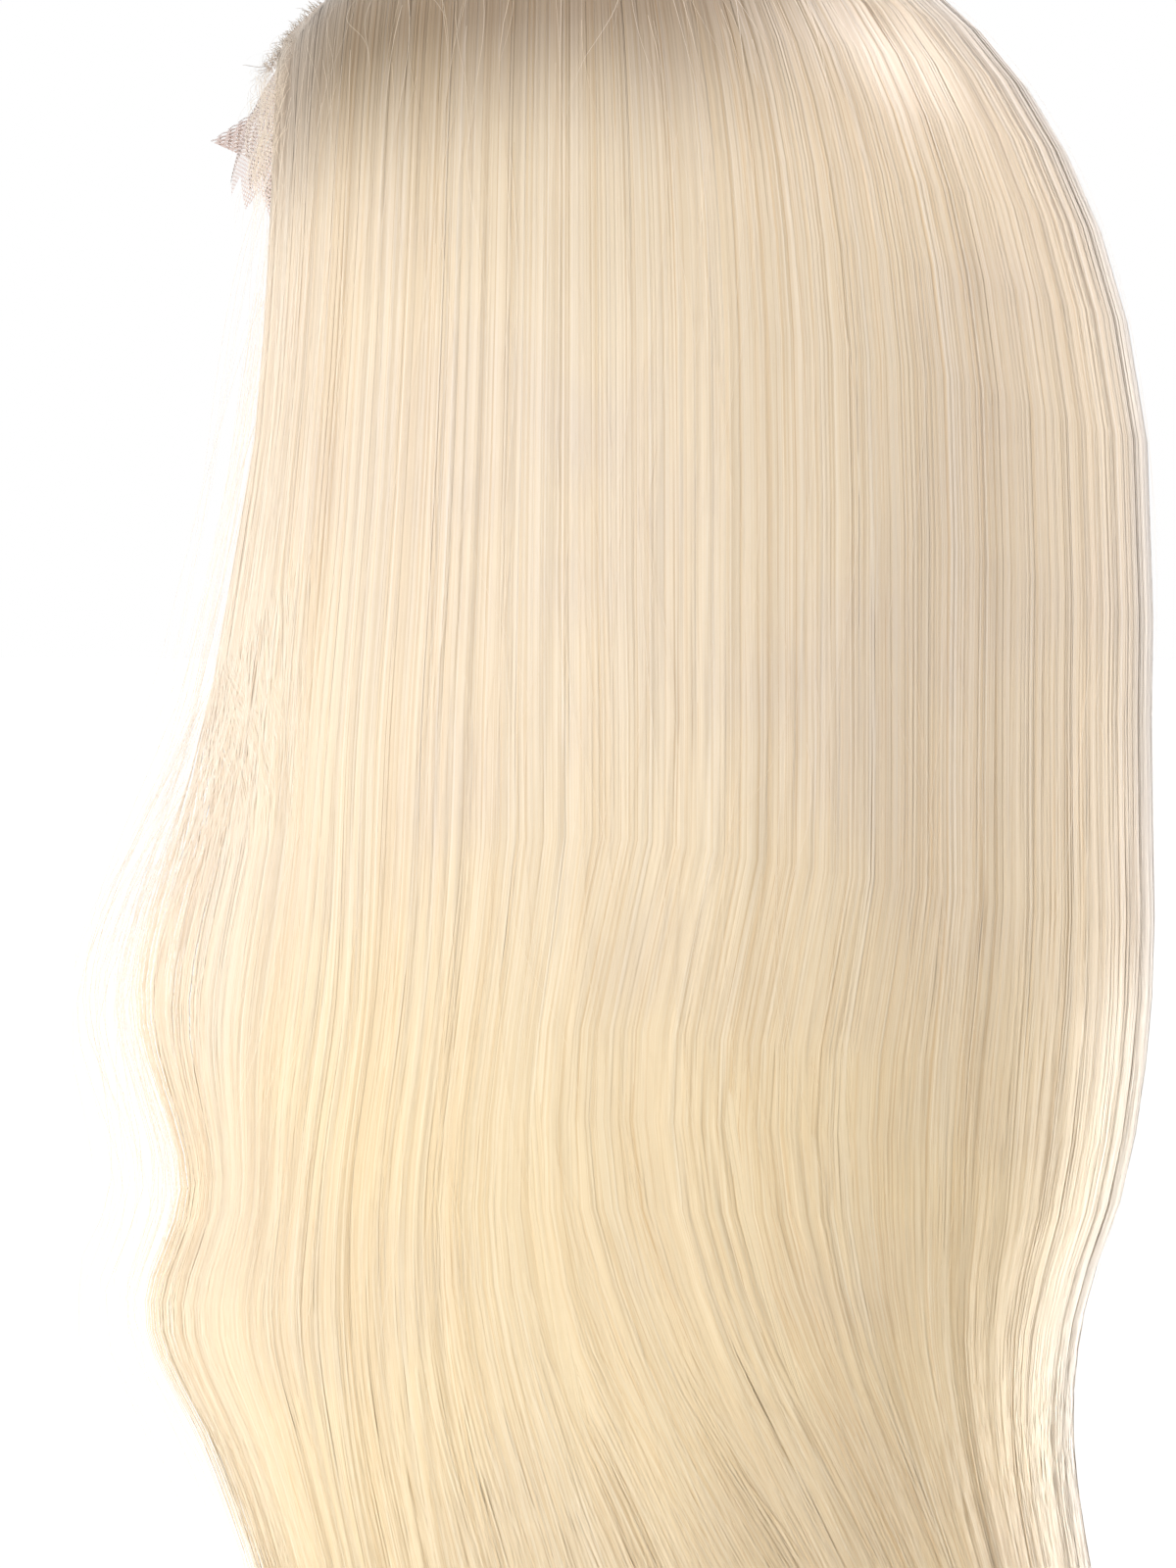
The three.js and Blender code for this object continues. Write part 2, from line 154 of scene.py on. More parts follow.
# The lace panel is a sheer net of fine pinkish thread, cut with pinking shears. It is stitched to the
# cap's front edge, lies on the forehead and temples, and carries the hair at the hairline.
HEAD_FRONT = 0.107
HEAD_BACK = 0.092
HEAD_HALF_WIDTH = 0.077
CROWN_HEIGHT = 0.088
NAPE_DEPTH = 0.142
HEAD_POWER = 2.4
LACE_MIDDLE = 0.0005
LACE_END_BEARING = 82
LACE_SEAM_STEP = 0.3
TOOTH_COUNT = 21
TOOTH_DEPTH = 0.008
TOOTH_VALLEY = 0.001
TOOTH_FLARE = 0.0105
TOOTH_FOLD = 0.0125
TOOTH_LIFT = 0.0016
LACE_HOLE = 0.0012
LACE_THREAD = 0.33
LACE_COLOUR = (0.66, 0.53, 0.49, 1)
LACE_PALE = (0.76, 0.64, 0.60, 1)
LACE_MOTTLE = 300
LACE_ROUGHNESS = 0.7
LACE_SHEEN = 0.3
LACE_STEPS_PER_TOOTH = 12
LACE_ROWS = 64
CAP_FRONT_RIM = np.array(
    [
        # bearing, angle down
        (0, 7),
        (15, 12),
        (30, 22),
        (45, 36),
        (60, 56),
        (72, 80),
        (80, 94),
        (88, 97),
    ],
    dtype=float,
)
LACE_EDGE = np.array(
    [
        # bearing, angle down
        (0, 72),
        (20, 77),
        (40, 83),
        (55, 89),
        (68, 97),
        (76, 107),
        (82, 111),
    ],
    dtype=float,
)


def read_column(table, column, place):
    """A column of a table at places between its rows, on a smooth curve through the rows."""
    key, value = table[:, 0], table[:, column]
    last = len(key) - 1
    i = np.clip(np.searchsorted(key, place, side="left") - 1, 0, last - 1)
    before, after = np.maximum(i - 1, 0), np.minimum(i + 2, last)
    width = key[i + 1] - key[i]
    t = np.clip((place - key[i]) / width, 0, 1)
    leave = (value[i + 1] - value[before]) / (key[i + 1] - key[before]) * width
    arrive = (value[after] - value[i]) / (key[after] - key[i]) * width
    return (
        (2 * t**3 - 3 * t**2 + 1) * value[i]
        + (t**3 - 2 * t**2 + t) * leave
        + (3 * t**2 - 2 * t**3) * value[i + 1]
        + (t**3 - t**2) * arrive
    )


def lerp(a, b, t):
    """The value at a share of the way from one to another."""
    return a + (b - a) * t


def smoothstep(x, low, high):
    """0 up to the low value and 1 from the high one, with a smooth step between them."""
    t = np.clip((x - low) / (high - low), 0, 1)
    return t * t * (3 - 2 * t)


def share_of_head(point, offset):
    """How far out a point is, as a share of a head whose surface is moved out by an offset."""
    length = np.where(point[..., 1] < 0, HEAD_FRONT, HEAD_BACK) + offset
    z = point[..., 2] + CROWN_HEIGHT
    height = np.where(z > 0, CROWN_HEIGHT, NAPE_DEPTH) + offset
    total = (
        np.abs(point[..., 0] / (HEAD_HALF_WIDTH + offset)) ** HEAD_POWER
        + np.abs(point[..., 1] / length) ** HEAD_POWER
        + np.abs(z / height) ** HEAD_POWER
    )
    return total ** (1 / HEAD_POWER)


def head_point(bearing, down, offset):
    """The point of that surface at a bearing from the forehead and an angle down, in degrees."""
    bearing, down = np.broadcast_arrays(np.radians(bearing), np.radians(down))
    direction = np.stack(
        [np.sin(bearing) * np.sin(down), -np.cos(bearing) * np.sin(down), np.cos(down)], axis=-1
    )
    centre = np.array([0, 0, -CROWN_HEIGHT])
    return direction / share_of_head(direction + centre, offset)[..., None] + centre


def new_mesh(name, points, faces, uv):
    """A smooth mesh from arrays of points, of four-cornered faces and of each point's UV place."""
    mesh = bpy.data.meshes.new(name)
    mesh.vertices.add(len(points))
    mesh.vertices.foreach_set("co", points.astype(np.float32).ravel())
    mesh.loops.add(faces.size)
    mesh.loops.foreach_set("vertex_index", faces.astype(np.int32).ravel())
    mesh.polygons.add(len(faces))
    mesh.polygons.foreach_set("loop_start", np.arange(0, faces.size, 4, dtype=np.int32))
    mesh.update(calc_edges=True)
    layer = mesh.uv_layers.new(name="UVMap")
    layer.data.foreach_set("uv", uv[faces.ravel()].astype(np.float32).ravel())
    mesh.polygons.foreach_set("use_smooth", np.ones(len(faces), dtype=bool))
    mesh.update()
    piece = bpy.data.objects.new(name, mesh)
    bpy.context.scene.collection.objects.link(piece)
    return piece


def grid_faces(columns, rows):
    """The faces of a grid of points, column by column, that face out where columns turn left."""
    corner = (np.arange(columns - 1)[:, None] * rows + np.arange(rows - 1)).ravel()
    return np.stack([corner, corner + 1, corner + rows + 1, corner + rows], axis=1)


def lace_panel():
    """The net from the cap's seam to the pinked edge, as one sheet with its teeth cut out."""
    columns = TOOTH_COUNT * LACE_STEPS_PER_TOOTH + 1
    tooth = np.linspace(0, TOOTH_COUNT, columns)[:, None]
    bearing = LACE_END_BEARING * (2 * tooth / TOOTH_COUNT - 1)
    edge = read_column(LACE_EDGE, 1, np.abs(bearing))
    seam = read_column(CAP_FRONT_RIM, 1, np.abs(bearing)) + LACE_SEAM_STEP
    row = np.linspace(0, 1, LACE_ROWS)[None, :]
    radius = np.linalg.norm(head_point(bearing, edge, 0) - [0, 0, -CROWN_HEIGHT], axis=-1)
    tip = 1 - np.abs(2 * (tooth % 1) - 1)
    fold = np.where(np.abs(tooth - TOOTH_COUNT / 2) <= 0.5, tip, 0)
    reach = lerp(TOOTH_VALLEY, np.where(fold > 0, -TOOTH_LIFT, TOOTH_DEPTH), tip)
    end = edge + np.degrees(reach / radius)
    down = seam + (end - seam) * row
    points = head_point(bearing, down, LACE_MIDDLE)
    crease = edge - np.degrees(TOOTH_FOLD * fold / radius)
    past = (np.clip((down - crease) / (end - crease), 0, 1) * (fold > 0))[..., None]
    beak = head_point(bearing, end, LACE_MIDDLE) - [0, TOOTH_FLARE, 0] * fold[..., None]
    points = np.where(past > 0, lerp(head_point(bearing, crease, LACE_MIDDLE), beak, past), points)
    flat = np.stack(
        [np.broadcast_to(np.radians(bearing) * radius, down.shape), np.radians(down) * radius], -1
    )
    faces = grid_faces(columns, LACE_ROWS)
    return new_mesh("lace_panel", points.reshape(-1, 3), faces, flat.reshape(-1, 2))


def lace_material():
    """A net of six-sided holes. The thread is opaque and the holes are clear."""
    material, nodes, links, shader = new_material("lace", LACE_ROUGHNESS)
    shader.inputs["Sheen Weight"].default_value = LACE_SHEEN
    place = nodes.new("ShaderNodeUVMap")
    place.uv_map = "UVMap"
    stretch = nodes.new("ShaderNodeMapping")
    stretch.inputs["Scale"].default_value = (1 / LACE_HOLE, 1 / (LACE_HOLE * math.sqrt(3)), 1)
    links.new(place.outputs["UV"], stretch.inputs["Vector"])
    nearest = []
    for shift in (0.0, 0.5):
        moved = nodes.new("ShaderNodeVectorMath")
        moved.operation = "ADD"
        moved.inputs[1].default_value = (shift, shift, 0)
        links.new(stretch.outputs["Vector"], moved.inputs[0])
        cell = nodes.new("ShaderNodeVectorMath")
        cell.operation = "FRACTION"
        links.new(moved.outputs[0], cell.inputs[0])
        centred = nodes.new("ShaderNodeVectorMath")
        centred.operation = "SUBTRACT"
        centred.inputs[1].default_value = (0.5, 0.5, 0)
        links.new(cell.outputs[0], centred.inputs[0])
        true_size = nodes.new("ShaderNodeVectorMath")
        true_size.operation = "MULTIPLY"
        true_size.inputs[1].default_value = (1, math.sqrt(3), 0)
        links.new(centred.outputs[0], true_size.inputs[0])
        length = nodes.new("ShaderNodeVectorMath")
        length.operation = "LENGTH"
        links.new(true_size.outputs[0], length.inputs[0])
        nearest.append(length.outputs["Value"])
    distance = math_node(nodes, links, "MINIMUM", nearest[0], nearest[1])
    thread = math_node(nodes, links, "GREATER_THAN", distance, LACE_THREAD)
    links.new(thread, shader.inputs["Alpha"])
    mottle = nodes.new("ShaderNodeTexNoise")
    mottle.inputs["Scale"].default_value = LACE_MOTTLE
    links.new(nodes.new("ShaderNodeTexCoord").outputs["Object"], mottle.inputs["Vector"])
    mix = nodes.new("ShaderNodeMix")
    mix.data_type = "RGBA"
    mix.inputs["A"].default_value = LACE_COLOUR
    mix.inputs["B"].default_value = LACE_PALE
    links.new(mottle.outputs["Fac"], mix.inputs["Factor"])
    links.new(mix.outputs["Result"], shader.inputs["Base Color"])
    return material


lace = lace_panel()
give_material(lace, lace_material())
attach(lace, "root")
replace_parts(lace, "lace_front")


# The hair is fine, straight and pale. It springs from a centre part and a small whorl at the crown and
# hangs as a curtain, open at the face, that waves at its ends. The tables say where it falls, in shares
# of the sizes above them.
HALF_WIDTH = HEAD_HALF_WIDTH + 0.027
FACE_REACH = HEAD_FRONT - 0.008
BACK_REACH = HEAD_BACK + 0.046
HAIR_TOP = 0.006
HAIR_LENGTH = 0.5
HAIR_DEPTH = 0.024
PART_LENGTH = 0.096
WHORL_RADIUS = 0.005
FRINGE_WIDTH = 0.2
ROOT_HEIGHT = 0.0012
ROOT_GROWTH = (-0.4, 1.6)
CAP_WALL = 0.0015
HAIR_SEAT_GAP = 0.001
CORE_SHARE = 0.4
LOCK_RELIEF = 0.005
SOFT_RELIEF = 0.16
LOCK_ROUNDNESS = 0.8
GROOVE_GROWTH = 0.6
SHALLOWEST_GROOVE = 0.7
GROOVES_FROM_FACE = (0.15, 0.4)
GROOVES_TO_BACK = (0.86, 0.98)
BACK_GROOVES_LESS = 0.8
LOCK_NOTCH = 0.046
TIP_STAGGER = 0.026
TIP_DEPTH = 0.003
EVEN_SHARE = 0.72
OVER_HEAD_ROWS = 9
ROW_CROWDING = 1.25
HANGING_ROWS = 8
TIP_ROWS = 4
HAIR_ROWS = OVER_HEAD_ROWS + HANGING_ROWS + TIP_ROWS
STATIONS = np.array(
    [0, 0.8, 1.6, 2.4, 3.1, 3.8, 4.5, 5.2, 5.9, 6.6, 7.3, 8.1, 9]
    + [10.2, 11.4, 12.5, 13.4, 14.2, 15, 15.8, 16.5, 17.1, 17.5, 17.9, 18.4, 19, 19.8, 21]
)
WAVING_STATIONS = STATIONS[13:25]
FACE_STATIONS = np.union1d(STATIONS, (WAVING_STATIONS[:-1] + WAVING_STATIONS[1:]) / 2)
GOLDEN_STEP = 0.618034
FALL = np.array(
    [
        # around, root side, root reach, side, reach, lift, turn, power, depth
        (0.0, 0.35, -1.0, 0.62, -1.0, 0.3, 0.4, 3.4, 0.12),
        (0.15, 0.35, -0.72, 0.88, -0.72, 0.55, 0.32, 2.7, 0.5),
        (0.3, 0.35, -0.42, 0.985, -0.36, 0.85, 0.28, 2.3, 0.85),
        (0.45, 0.4, -0.12, 1.0, 0.04, 1.0, 0.27, 2.2, 1.0),
        (0.58, 0.6, 0.005, 0.96, 0.33, 1.0, 0.29, 2.3, 1.0),
        (0.72, 0.5, 0.03, 0.8, 0.64, 1.0, 0.32, 2.35, 1.0),
        (0.86, 0.3, 0.04, 0.48, 0.885, 1.0, 0.35, 2.35, 1.0),
        (1.0, 0.0, 0.045, 0.0, 1.0, 1.0, 0.36, 2.35, 1.0),
        (1.14, -0.3, 0.04, -0.48, 0.885, 1.0, 0.35, 2.35, 1.0),
    ]
)
ROOT_SIDE, ROOT_REACH, SIDE, REACH, LIFT, TURN, POWER, DEPTH = range(1, 9)
LEVELS = np.array(
    [
        # down, front, fringe, back, width, depth, swing, sweep
        (0.0, 0.875, 0, 1, 1, 2.4, 0, 0),
        (0.18, 0.9, 0, 1, 1, 2.2, 0, 0),
        (0.3, 0.955, 0, 1, 1, 1.5, 0, 0),
        (0.42, 1, 0.075, 0.995, 1, 1, -0.01, 0),
        (0.55, 0.99, 0.26, 1, 0.99, 0.9, -0.028, -0.01),
        (0.65, 1, 0.12, 0.955, 0.97, 0.85, -0.055, 0.015),
        (0.72, 1, 0.21, 0.875, 0.95, 0.75, -0.058, 0.06),
        (0.79, 0.98, 0.08, 0.85, 0.95, 0.65, -0.045, 0.11),
        (0.87, 0.93, 0, 0.89, 0.97, 0.5, -0.018, 0.145),
        (0.94, 0.91, 0, 0.94, 0.98, 0.35, 0, 0.15),
        (1.0, 0.9, 0, 0.96, 0.96, 0.12, 0.01, 0.15),
    ]
)
FRONT, FRINGE, BACK, WIDTH, LEVEL_DEPTH, SWING, SWEEP = range(1, 8)
STRETCHES = (
    # node, from, to, locks
    ("face_lock_left", 0, 0.085, 1),
    ("hair_front_left", 0.085, 0.335, 3),
    ("hair_side_left", 0.335, 0.665, 4),
    ("hair_back", 0.665, 1.335, 8),
    ("hair_side_right", 1.335, 1.665, 4),
    ("hair_front_right", 1.665, 1.915, 3),
    ("face_lock_right", 1.915, 2, 1),
)
LOCK_EDGES = np.concatenate(
    [np.linspace(start, end, locks + 1)[:-1] for _, start, end, locks in STRETCHES] + [[2.0]]
)
LOCK_STAGGER = np.concatenate(
    [((np.arange(locks) + 10 * start) * GOLDEN_STEP) % 1 for _, start, _, locks in STRETCHES]
)


def bump_between(place, start, peak, end):
    """1 at the peak, and 0 at both ends."""
    return np.where(place < peak, smoothstep(place, start, peak), 1 - smoothstep(place, peak, end))


def hanging_point(around, down):
    """Where the hair hangs, on the left half, at a share of the hair's length below the crown."""
    swung = around + read_column(LEVELS, SWING, down) * bump_between(around, -0.1, 0.2, 0.45)
    swung = swung + read_column(LEVELS, SWEEP, down) * bump_between(around, 0.28, 0.52, 1)
    fringe = read_column(LEVELS, FRINGE, down) * (1 - smoothstep(swung, 0, FRINGE_WIDTH))
    reach = read_column(FALL, REACH, swung)
    front = FACE_REACH * read_column(LEVELS, FRONT, down)
    back = BACK_REACH * read_column(LEVELS, BACK, down)
    side = read_column(FALL, SIDE, swung) * HALF_WIDTH * read_column(LEVELS, WIDTH, down)
    forward = reach * np.where(reach < 0, front, back) - fringe * FACE_REACH
    return np.stack([side, forward, -down * HAIR_LENGTH], axis=-1)


def lock_shape(turn):
    """At each turn, how far its lock swells, from 0 in a groove to 1, its shortening and its middle."""
    lock = np.clip(np.searchsorted(LOCK_EDGES, turn, side="right") - 1, 0, len(LOCK_STAGGER) - 1)
    across = (turn - LOCK_EDGES[lock]) / (LOCK_EDGES[lock + 1] - LOCK_EDGES[lock])
    swell = np.sin(np.pi * np.clip(across, 0.001, 0.999)) ** LOCK_ROUNDNESS
    return swell, LOCK_STAGGER[lock], (LOCK_EDGES[lock] + LOCK_EDGES[lock + 1]) / 2


def hair_surface(around, row, length):
    """The outer surface of the left half, and the way in from it, at rows down from the roots."""
    around, row, length = np.broadcast_arrays(around, row, length)
    root_x = read_column(FALL, ROOT_SIDE, around) * WHORL_RADIUS
    root_y = read_column(FALL, ROOT_REACH, around) * PART_LENGTH
    reach = np.where(root_y < 0, HEAD_FRONT, HEAD_BACK) + CAP_WALL
    flat = (np.abs(root_x) / (HEAD_HALF_WIDTH + CAP_WALL)) ** HEAD_POWER
    flat = flat + (np.abs(root_y) / reach) ** HEAD_POWER
    root_z = (CROWN_HEIGHT + CAP_WALL) * (1 - flat) ** (1 / HEAD_POWER) - CROWN_HEIGHT
    bend = -read_column(FALL, TURN, around) * HAIR_LENGTH
    power = read_column(FALL, POWER, around)
    angle = np.pi / 2 * np.clip(row / OVER_HEAD_ROWS, 0, 1) ** ROW_CROWDING
    out = np.sin(angle) ** (2 / power)
    up = np.maximum(np.cos(angle), 0) ** (2 / power)
    top = root_z + HAIR_TOP * read_column(FALL, LIFT, around)
    z = lerp(bend, top, up)
    head_part = hanging_point(around, np.clip(-z / HAIR_LENGTH, 0, 1))
    growth = smoothstep(row, *ROOT_GROWTH)
    over = np.stack(
        [
            lerp(root_x, head_part[..., 0], out),
            lerp(root_y, head_part[..., 1], out),
            lerp(root_z + ROOT_HEIGHT, z, growth),
        ],
        axis=-1,
    )
    level = row - OVER_HEAD_ROWS
    even = lerp(-bend / HAIR_LENGTH, EVEN_SHARE, level / HANGING_ROWS)
    tips = lerp(EVEN_SHARE, length / HAIR_LENGTH, (level - HANGING_ROWS) / TIP_ROWS)
    hanging = hanging_point(around, np.clip(np.where(level > HANGING_ROWS, tips, even), 0, 1.04))
    point = np.where((level > 0)[..., None], hanging, over)
    core = np.stack(
        [np.zeros_like(root_x), CORE_SHARE * point[..., 1], np.minimum(point[..., 2], -CROWN_HEIGHT)],
        axis=-1,
    )
    inward = core - point
    inward /= np.linalg.norm(inward, axis=-1, keepdims=True)
    return point, inward


def lock_relief(row, around, swell, stagger):
    """How deep the groove between locks is at a row. It is round, and fades at the face and the back."""
    depth = LOCK_RELIEF * smoothstep(row, 0, HAIR_ROWS) ** GROOVE_GROWTH
    depth = depth * lerp(SHALLOWEST_GROOVE, 1, stagger)
    at_back = 1 - BACK_GROOVES_LESS * smoothstep(around, *GROOVES_TO_BACK)
    shown = smoothstep(around, *GROOVES_FROM_FACE) * at_back
    return SOFT_RELIEF * depth * smoothstep(1 - swell, 0, 1) * shown


def keep_out_of_head(point, offset):
    """Points that would be under the surface are moved straight out to it."""
    centre = np.array([0, 0, -CROWN_HEIGHT])
    share = np.minimum(share_of_head(point, offset), 1)[..., None]
    return (point - centre) / share + centre


def on_its_side(vector, turn):
    """A vector of the right half, which is worked out on the left, goes to its own side."""
    return vector * np.stack(np.broadcast_arrays(np.where(turn > 1, -1.0, 1.0), 1.0, 1.0), axis=-1)


# The colour of bleached hair: each hair differs a little, whole locks are a shade warmer or cooler,
# and the roots at the front are darker: partly a deeper root tone, mostly painted shade for the dim
# light over the top of the head. Beside the face the hair is painted paler, a painted light for the
# thin front edge. One node group gives it to the wefts and to every strand.
DEEP_HAIR = (0.75, 0.58, 0.38, 1)
MIDDLE_HAIR = (0.84, 0.70, 0.51, 1)
LIGHT_HAIR = (0.90, 0.79, 0.64, 1)
ENDS_TINT = (1.0, 0.97, 0.84, 1)
ASH_TINT = (0.93, 0.93, 0.98, 1)
# Painted shade: the front roots are multiplied by this for the dim light over the top of the head, with
# a slightly deeper root tone in it.
ROOT_TONE_AND_SHADE = (0.44, 0.395, 0.355, 1)
# Painted light: the hair beside the face, most of all high up, is mixed towards this pale colour for the
# light that shines through it at the front edge.
FACE_PAINTED_LIGHT = (0.95, 0.88, 0.81, 1)
# Painted light: hairs seen edge on are mixed towards this pale colour, for the light that shines through
# hair at its edges.
PAINTED_EDGE_LIGHT = (0.98, 0.94, 0.89, 1)
MIDDLE_TONE = 0.45
PATCH_SCALE = 14
ASH_PATCHES = (0.42, 0.7)
ASH_SHARE = 0.8
ENDS_ALONG = (0.5, 0.75)
ROOT_SHADE_ALONG = (0.21, 0.34)
ROOT_SHADE_FORWARD = (0.025, 0.085)
BACK_ROOT_SHADE_SHARE = 0.1
FACE_LIGHT_FORWARD = (-0.12, -0.055)
FACE_LIGHT_SHARE = 0.65
FACE_LIGHT_HEIGHT = (-0.32, -0.16)
LOW_FACE_LIGHT_SHARE = 0.45
HAIR_ROUGHNESS = 0.38
HAIR_ANISOTROPY = 0.7
HAIR_SPECULAR = 0.3
HAIR_SHEEN = 0.12
GRAZING = (0.5, 1)
GRAZING_LIGHT_SHARE = 0.8
STREAKS = (1600, 7, 1)
STREAK_DETAIL = 3
STREAK_FACTOR = (0.25, 0.75)
STREAK_TONE = (0.25, 0.8)
STREAK_RELIEF = 0.6
STREAK_HEIGHT = 0.0004


def tint(nodes, links, colour, shade, share):
    """A colour multiplied by a shade, by the share that a socket gives."""
    mix = nodes.new("ShaderNodeMix")
    mix.data_type = "RGBA"
    mix.blend_type = "MULTIPLY"
    mix.inputs["B"].default_value = shade
    links.new(share, mix.inputs["Factor"])
    links.new(colour, mix.inputs["A"])
    return mix.outputs["Result"]


def ease(nodes, links, value, low, high, at_low, at_high):
    """A value mapped from low..high to two other numbers, along a smooth step."""
    node = nodes.new("ShaderNodeMapRange")
    node.interpolation_type = "SMOOTHSTEP"
    for name, number in zip(("From Min", "From Max", "To Min", "To Max"), (low, high, at_low, at_high)):
        node.inputs[name].default_value = number
    links.new(value, node.inputs["Value"])
    return node.outputs["Result"]


def hair_colour_group():
    """A node group that makes a hair's colour from its tone and from how far along it is."""
    group = bpy.data.node_groups.new("bleached_hair", "ShaderNodeTree")
    for name in ("Tone", "Along"):
        group.interface.new_socket(name, in_out="INPUT", socket_type="NodeSocketFloat")
    group.interface.new_socket("Colour", in_out="OUTPUT", socket_type="NodeSocketColor")
    group.interface.new_socket("Root shade", in_out="OUTPUT", socket_type="NodeSocketFloat")
    nodes, links = group.nodes, group.links
    source = nodes.new("NodeGroupInput")
    ramp = nodes.new("ShaderNodeValToRGB")
    ramp.color_ramp.elements[0].color = DEEP_HAIR
    ramp.color_ramp.elements[1].color = LIGHT_HAIR
    ramp.color_ramp.elements.new(MIDDLE_TONE).color = MIDDLE_HAIR
    links.new(source.outputs["Tone"], ramp.inputs["Fac"])
    place = nodes.new("ShaderNodeTexCoord").outputs["Object"]
    patches = nodes.new("ShaderNodeTexNoise")
    patches.inputs["Scale"].default_value = PATCH_SCALE
    links.new(place, patches.inputs["Vector"])
    ash_share = ease(nodes, links, patches.outputs["Fac"], *ASH_PATCHES, 0, ASH_SHARE)
    colour = tint(nodes, links, ramp.outputs["Color"], ASH_TINT, ash_share)
    ends_share = ease(nodes, links, source.outputs["Along"], *ENDS_ALONG, 0, 1)
    colour = tint(nodes, links, colour, ENDS_TINT, ends_share)
    split = nodes.new("ShaderNodeSeparateXYZ")
    links.new(place, split.inputs[0])
    # Painted shade at the roots, full in front and fading towards the back, where the light from behind
    # is bright.
    root_shade_share = ease(nodes, links, source.outputs["Along"], *ROOT_SHADE_ALONG, 1, 0)
    front_shade_share = ease(nodes, links, split.outputs["Y"], *ROOT_SHADE_FORWARD, 1, BACK_ROOT_SHADE_SHARE)
    share = math_node(nodes, links, "MULTIPLY", root_shade_share, front_shade_share)
    colour = tint(nodes, links, colour, ROOT_TONE_AND_SHADE, share)
    # Painted light beside the face: the hair there is mixed towards a pale colour.
    face_light = nodes.new("ShaderNodeMix")
    face_light.data_type = "RGBA"
    face_light.inputs["B"].default_value = FACE_PAINTED_LIGHT
    face_light_share = ease(nodes, links, split.outputs["Y"], *FACE_LIGHT_FORWARD, FACE_LIGHT_SHARE, 0)
    high_light_share = ease(nodes, links, split.outputs["Z"], *FACE_LIGHT_HEIGHT, LOW_FACE_LIGHT_SHARE, 1)
    face_light_share = math_node(nodes, links, "MULTIPLY", face_light_share, high_light_share)
    links.new(face_light_share, face_light.inputs["Factor"])
    links.new(colour, face_light.inputs["A"])
    result = nodes.new("NodeGroupOutput")
    links.new(face_light.outputs["Result"], result.inputs["Colour"])
    links.new(share, result.inputs["Root shade"])
    return group


hair_colour = hair_colour_group()


def hair_shader(name):
    """A hair material without its colour: silky, with highlights drawn out across the hairs."""
    material, nodes, links, shader = new_material(name, HAIR_ROUGHNESS)
    shader.inputs["Anisotropic"].default_value = HAIR_ANISOTROPY
    shader.inputs["Specular IOR Level"].default_value = HAIR_SPECULAR
    shader.inputs["Sheen Weight"].default_value = HAIR_SHEEN
    colour = nodes.new("ShaderNodeGroup")
    colour.node_tree = hair_colour
    return material, nodes, links, shader, colour


def strand_material():
    """The look of single hairs, each with its own tone. Seen edge on, they are painted paler: a painted
    light for the light that shines through hair at its edges.
    """
    material, nodes, links, shader, colour = hair_shader("hair_strand")
    for name in ("tone", "along"):
        own = nodes.new("ShaderNodeAttribute")
        own.attribute_name = name
        links.new(own.outputs["Fac"], colour.inputs[name.capitalize()])
    outward = nodes.new("ShaderNodeAttribute")
    outward.attribute_name = "outward"
    from_behind = nodes.new("ShaderNodeNewGeometry").outputs["Backfacing"]
    turned = math_node(nodes, links, "MULTIPLY_ADD", from_behind, -2.0)
    turned.node.inputs[2].default_value = 1.0
    seen_side = nodes.new("ShaderNodeVectorMath")
    seen_side.operation = "SCALE"
    links.new(outward.outputs["Vector"], seen_side.inputs[0])
    links.new(turned, seen_side.inputs["Scale"])
    links.new(seen_side.outputs["Vector"], shader.inputs["Normal"])
    # Painted edge light: the more a hair is seen edge on, the paler it is painted.
    grazing = nodes.new("ShaderNodeLayerWeight")
    links.new(seen_side.outputs["Vector"], grazing.inputs["Normal"])
    edge_light_mix = nodes.new("ShaderNodeMix")
    edge_light_mix.data_type = "RGBA"
    edge_light_mix.inputs["B"].default_value = PAINTED_EDGE_LIGHT
    edge_light_share = ease(nodes, links, grazing.outputs["Facing"], *GRAZING, 0, GRAZING_LIGHT_SHARE)
    # The painted edge light stays off the painted root shade.
    outside_root_shade = math_node(nodes, links, "SUBTRACT", 1.0, colour.outputs["Root shade"])
    edge_light_share = math_node(nodes, links, "MULTIPLY", edge_light_share, outside_root_shade)
    links.new(edge_light_share, edge_light_mix.inputs["Factor"])
    links.new(colour.outputs["Colour"], edge_light_mix.inputs["A"])
    links.new(edge_light_mix.outputs["Result"], shader.inputs["Base Color"])
    return material


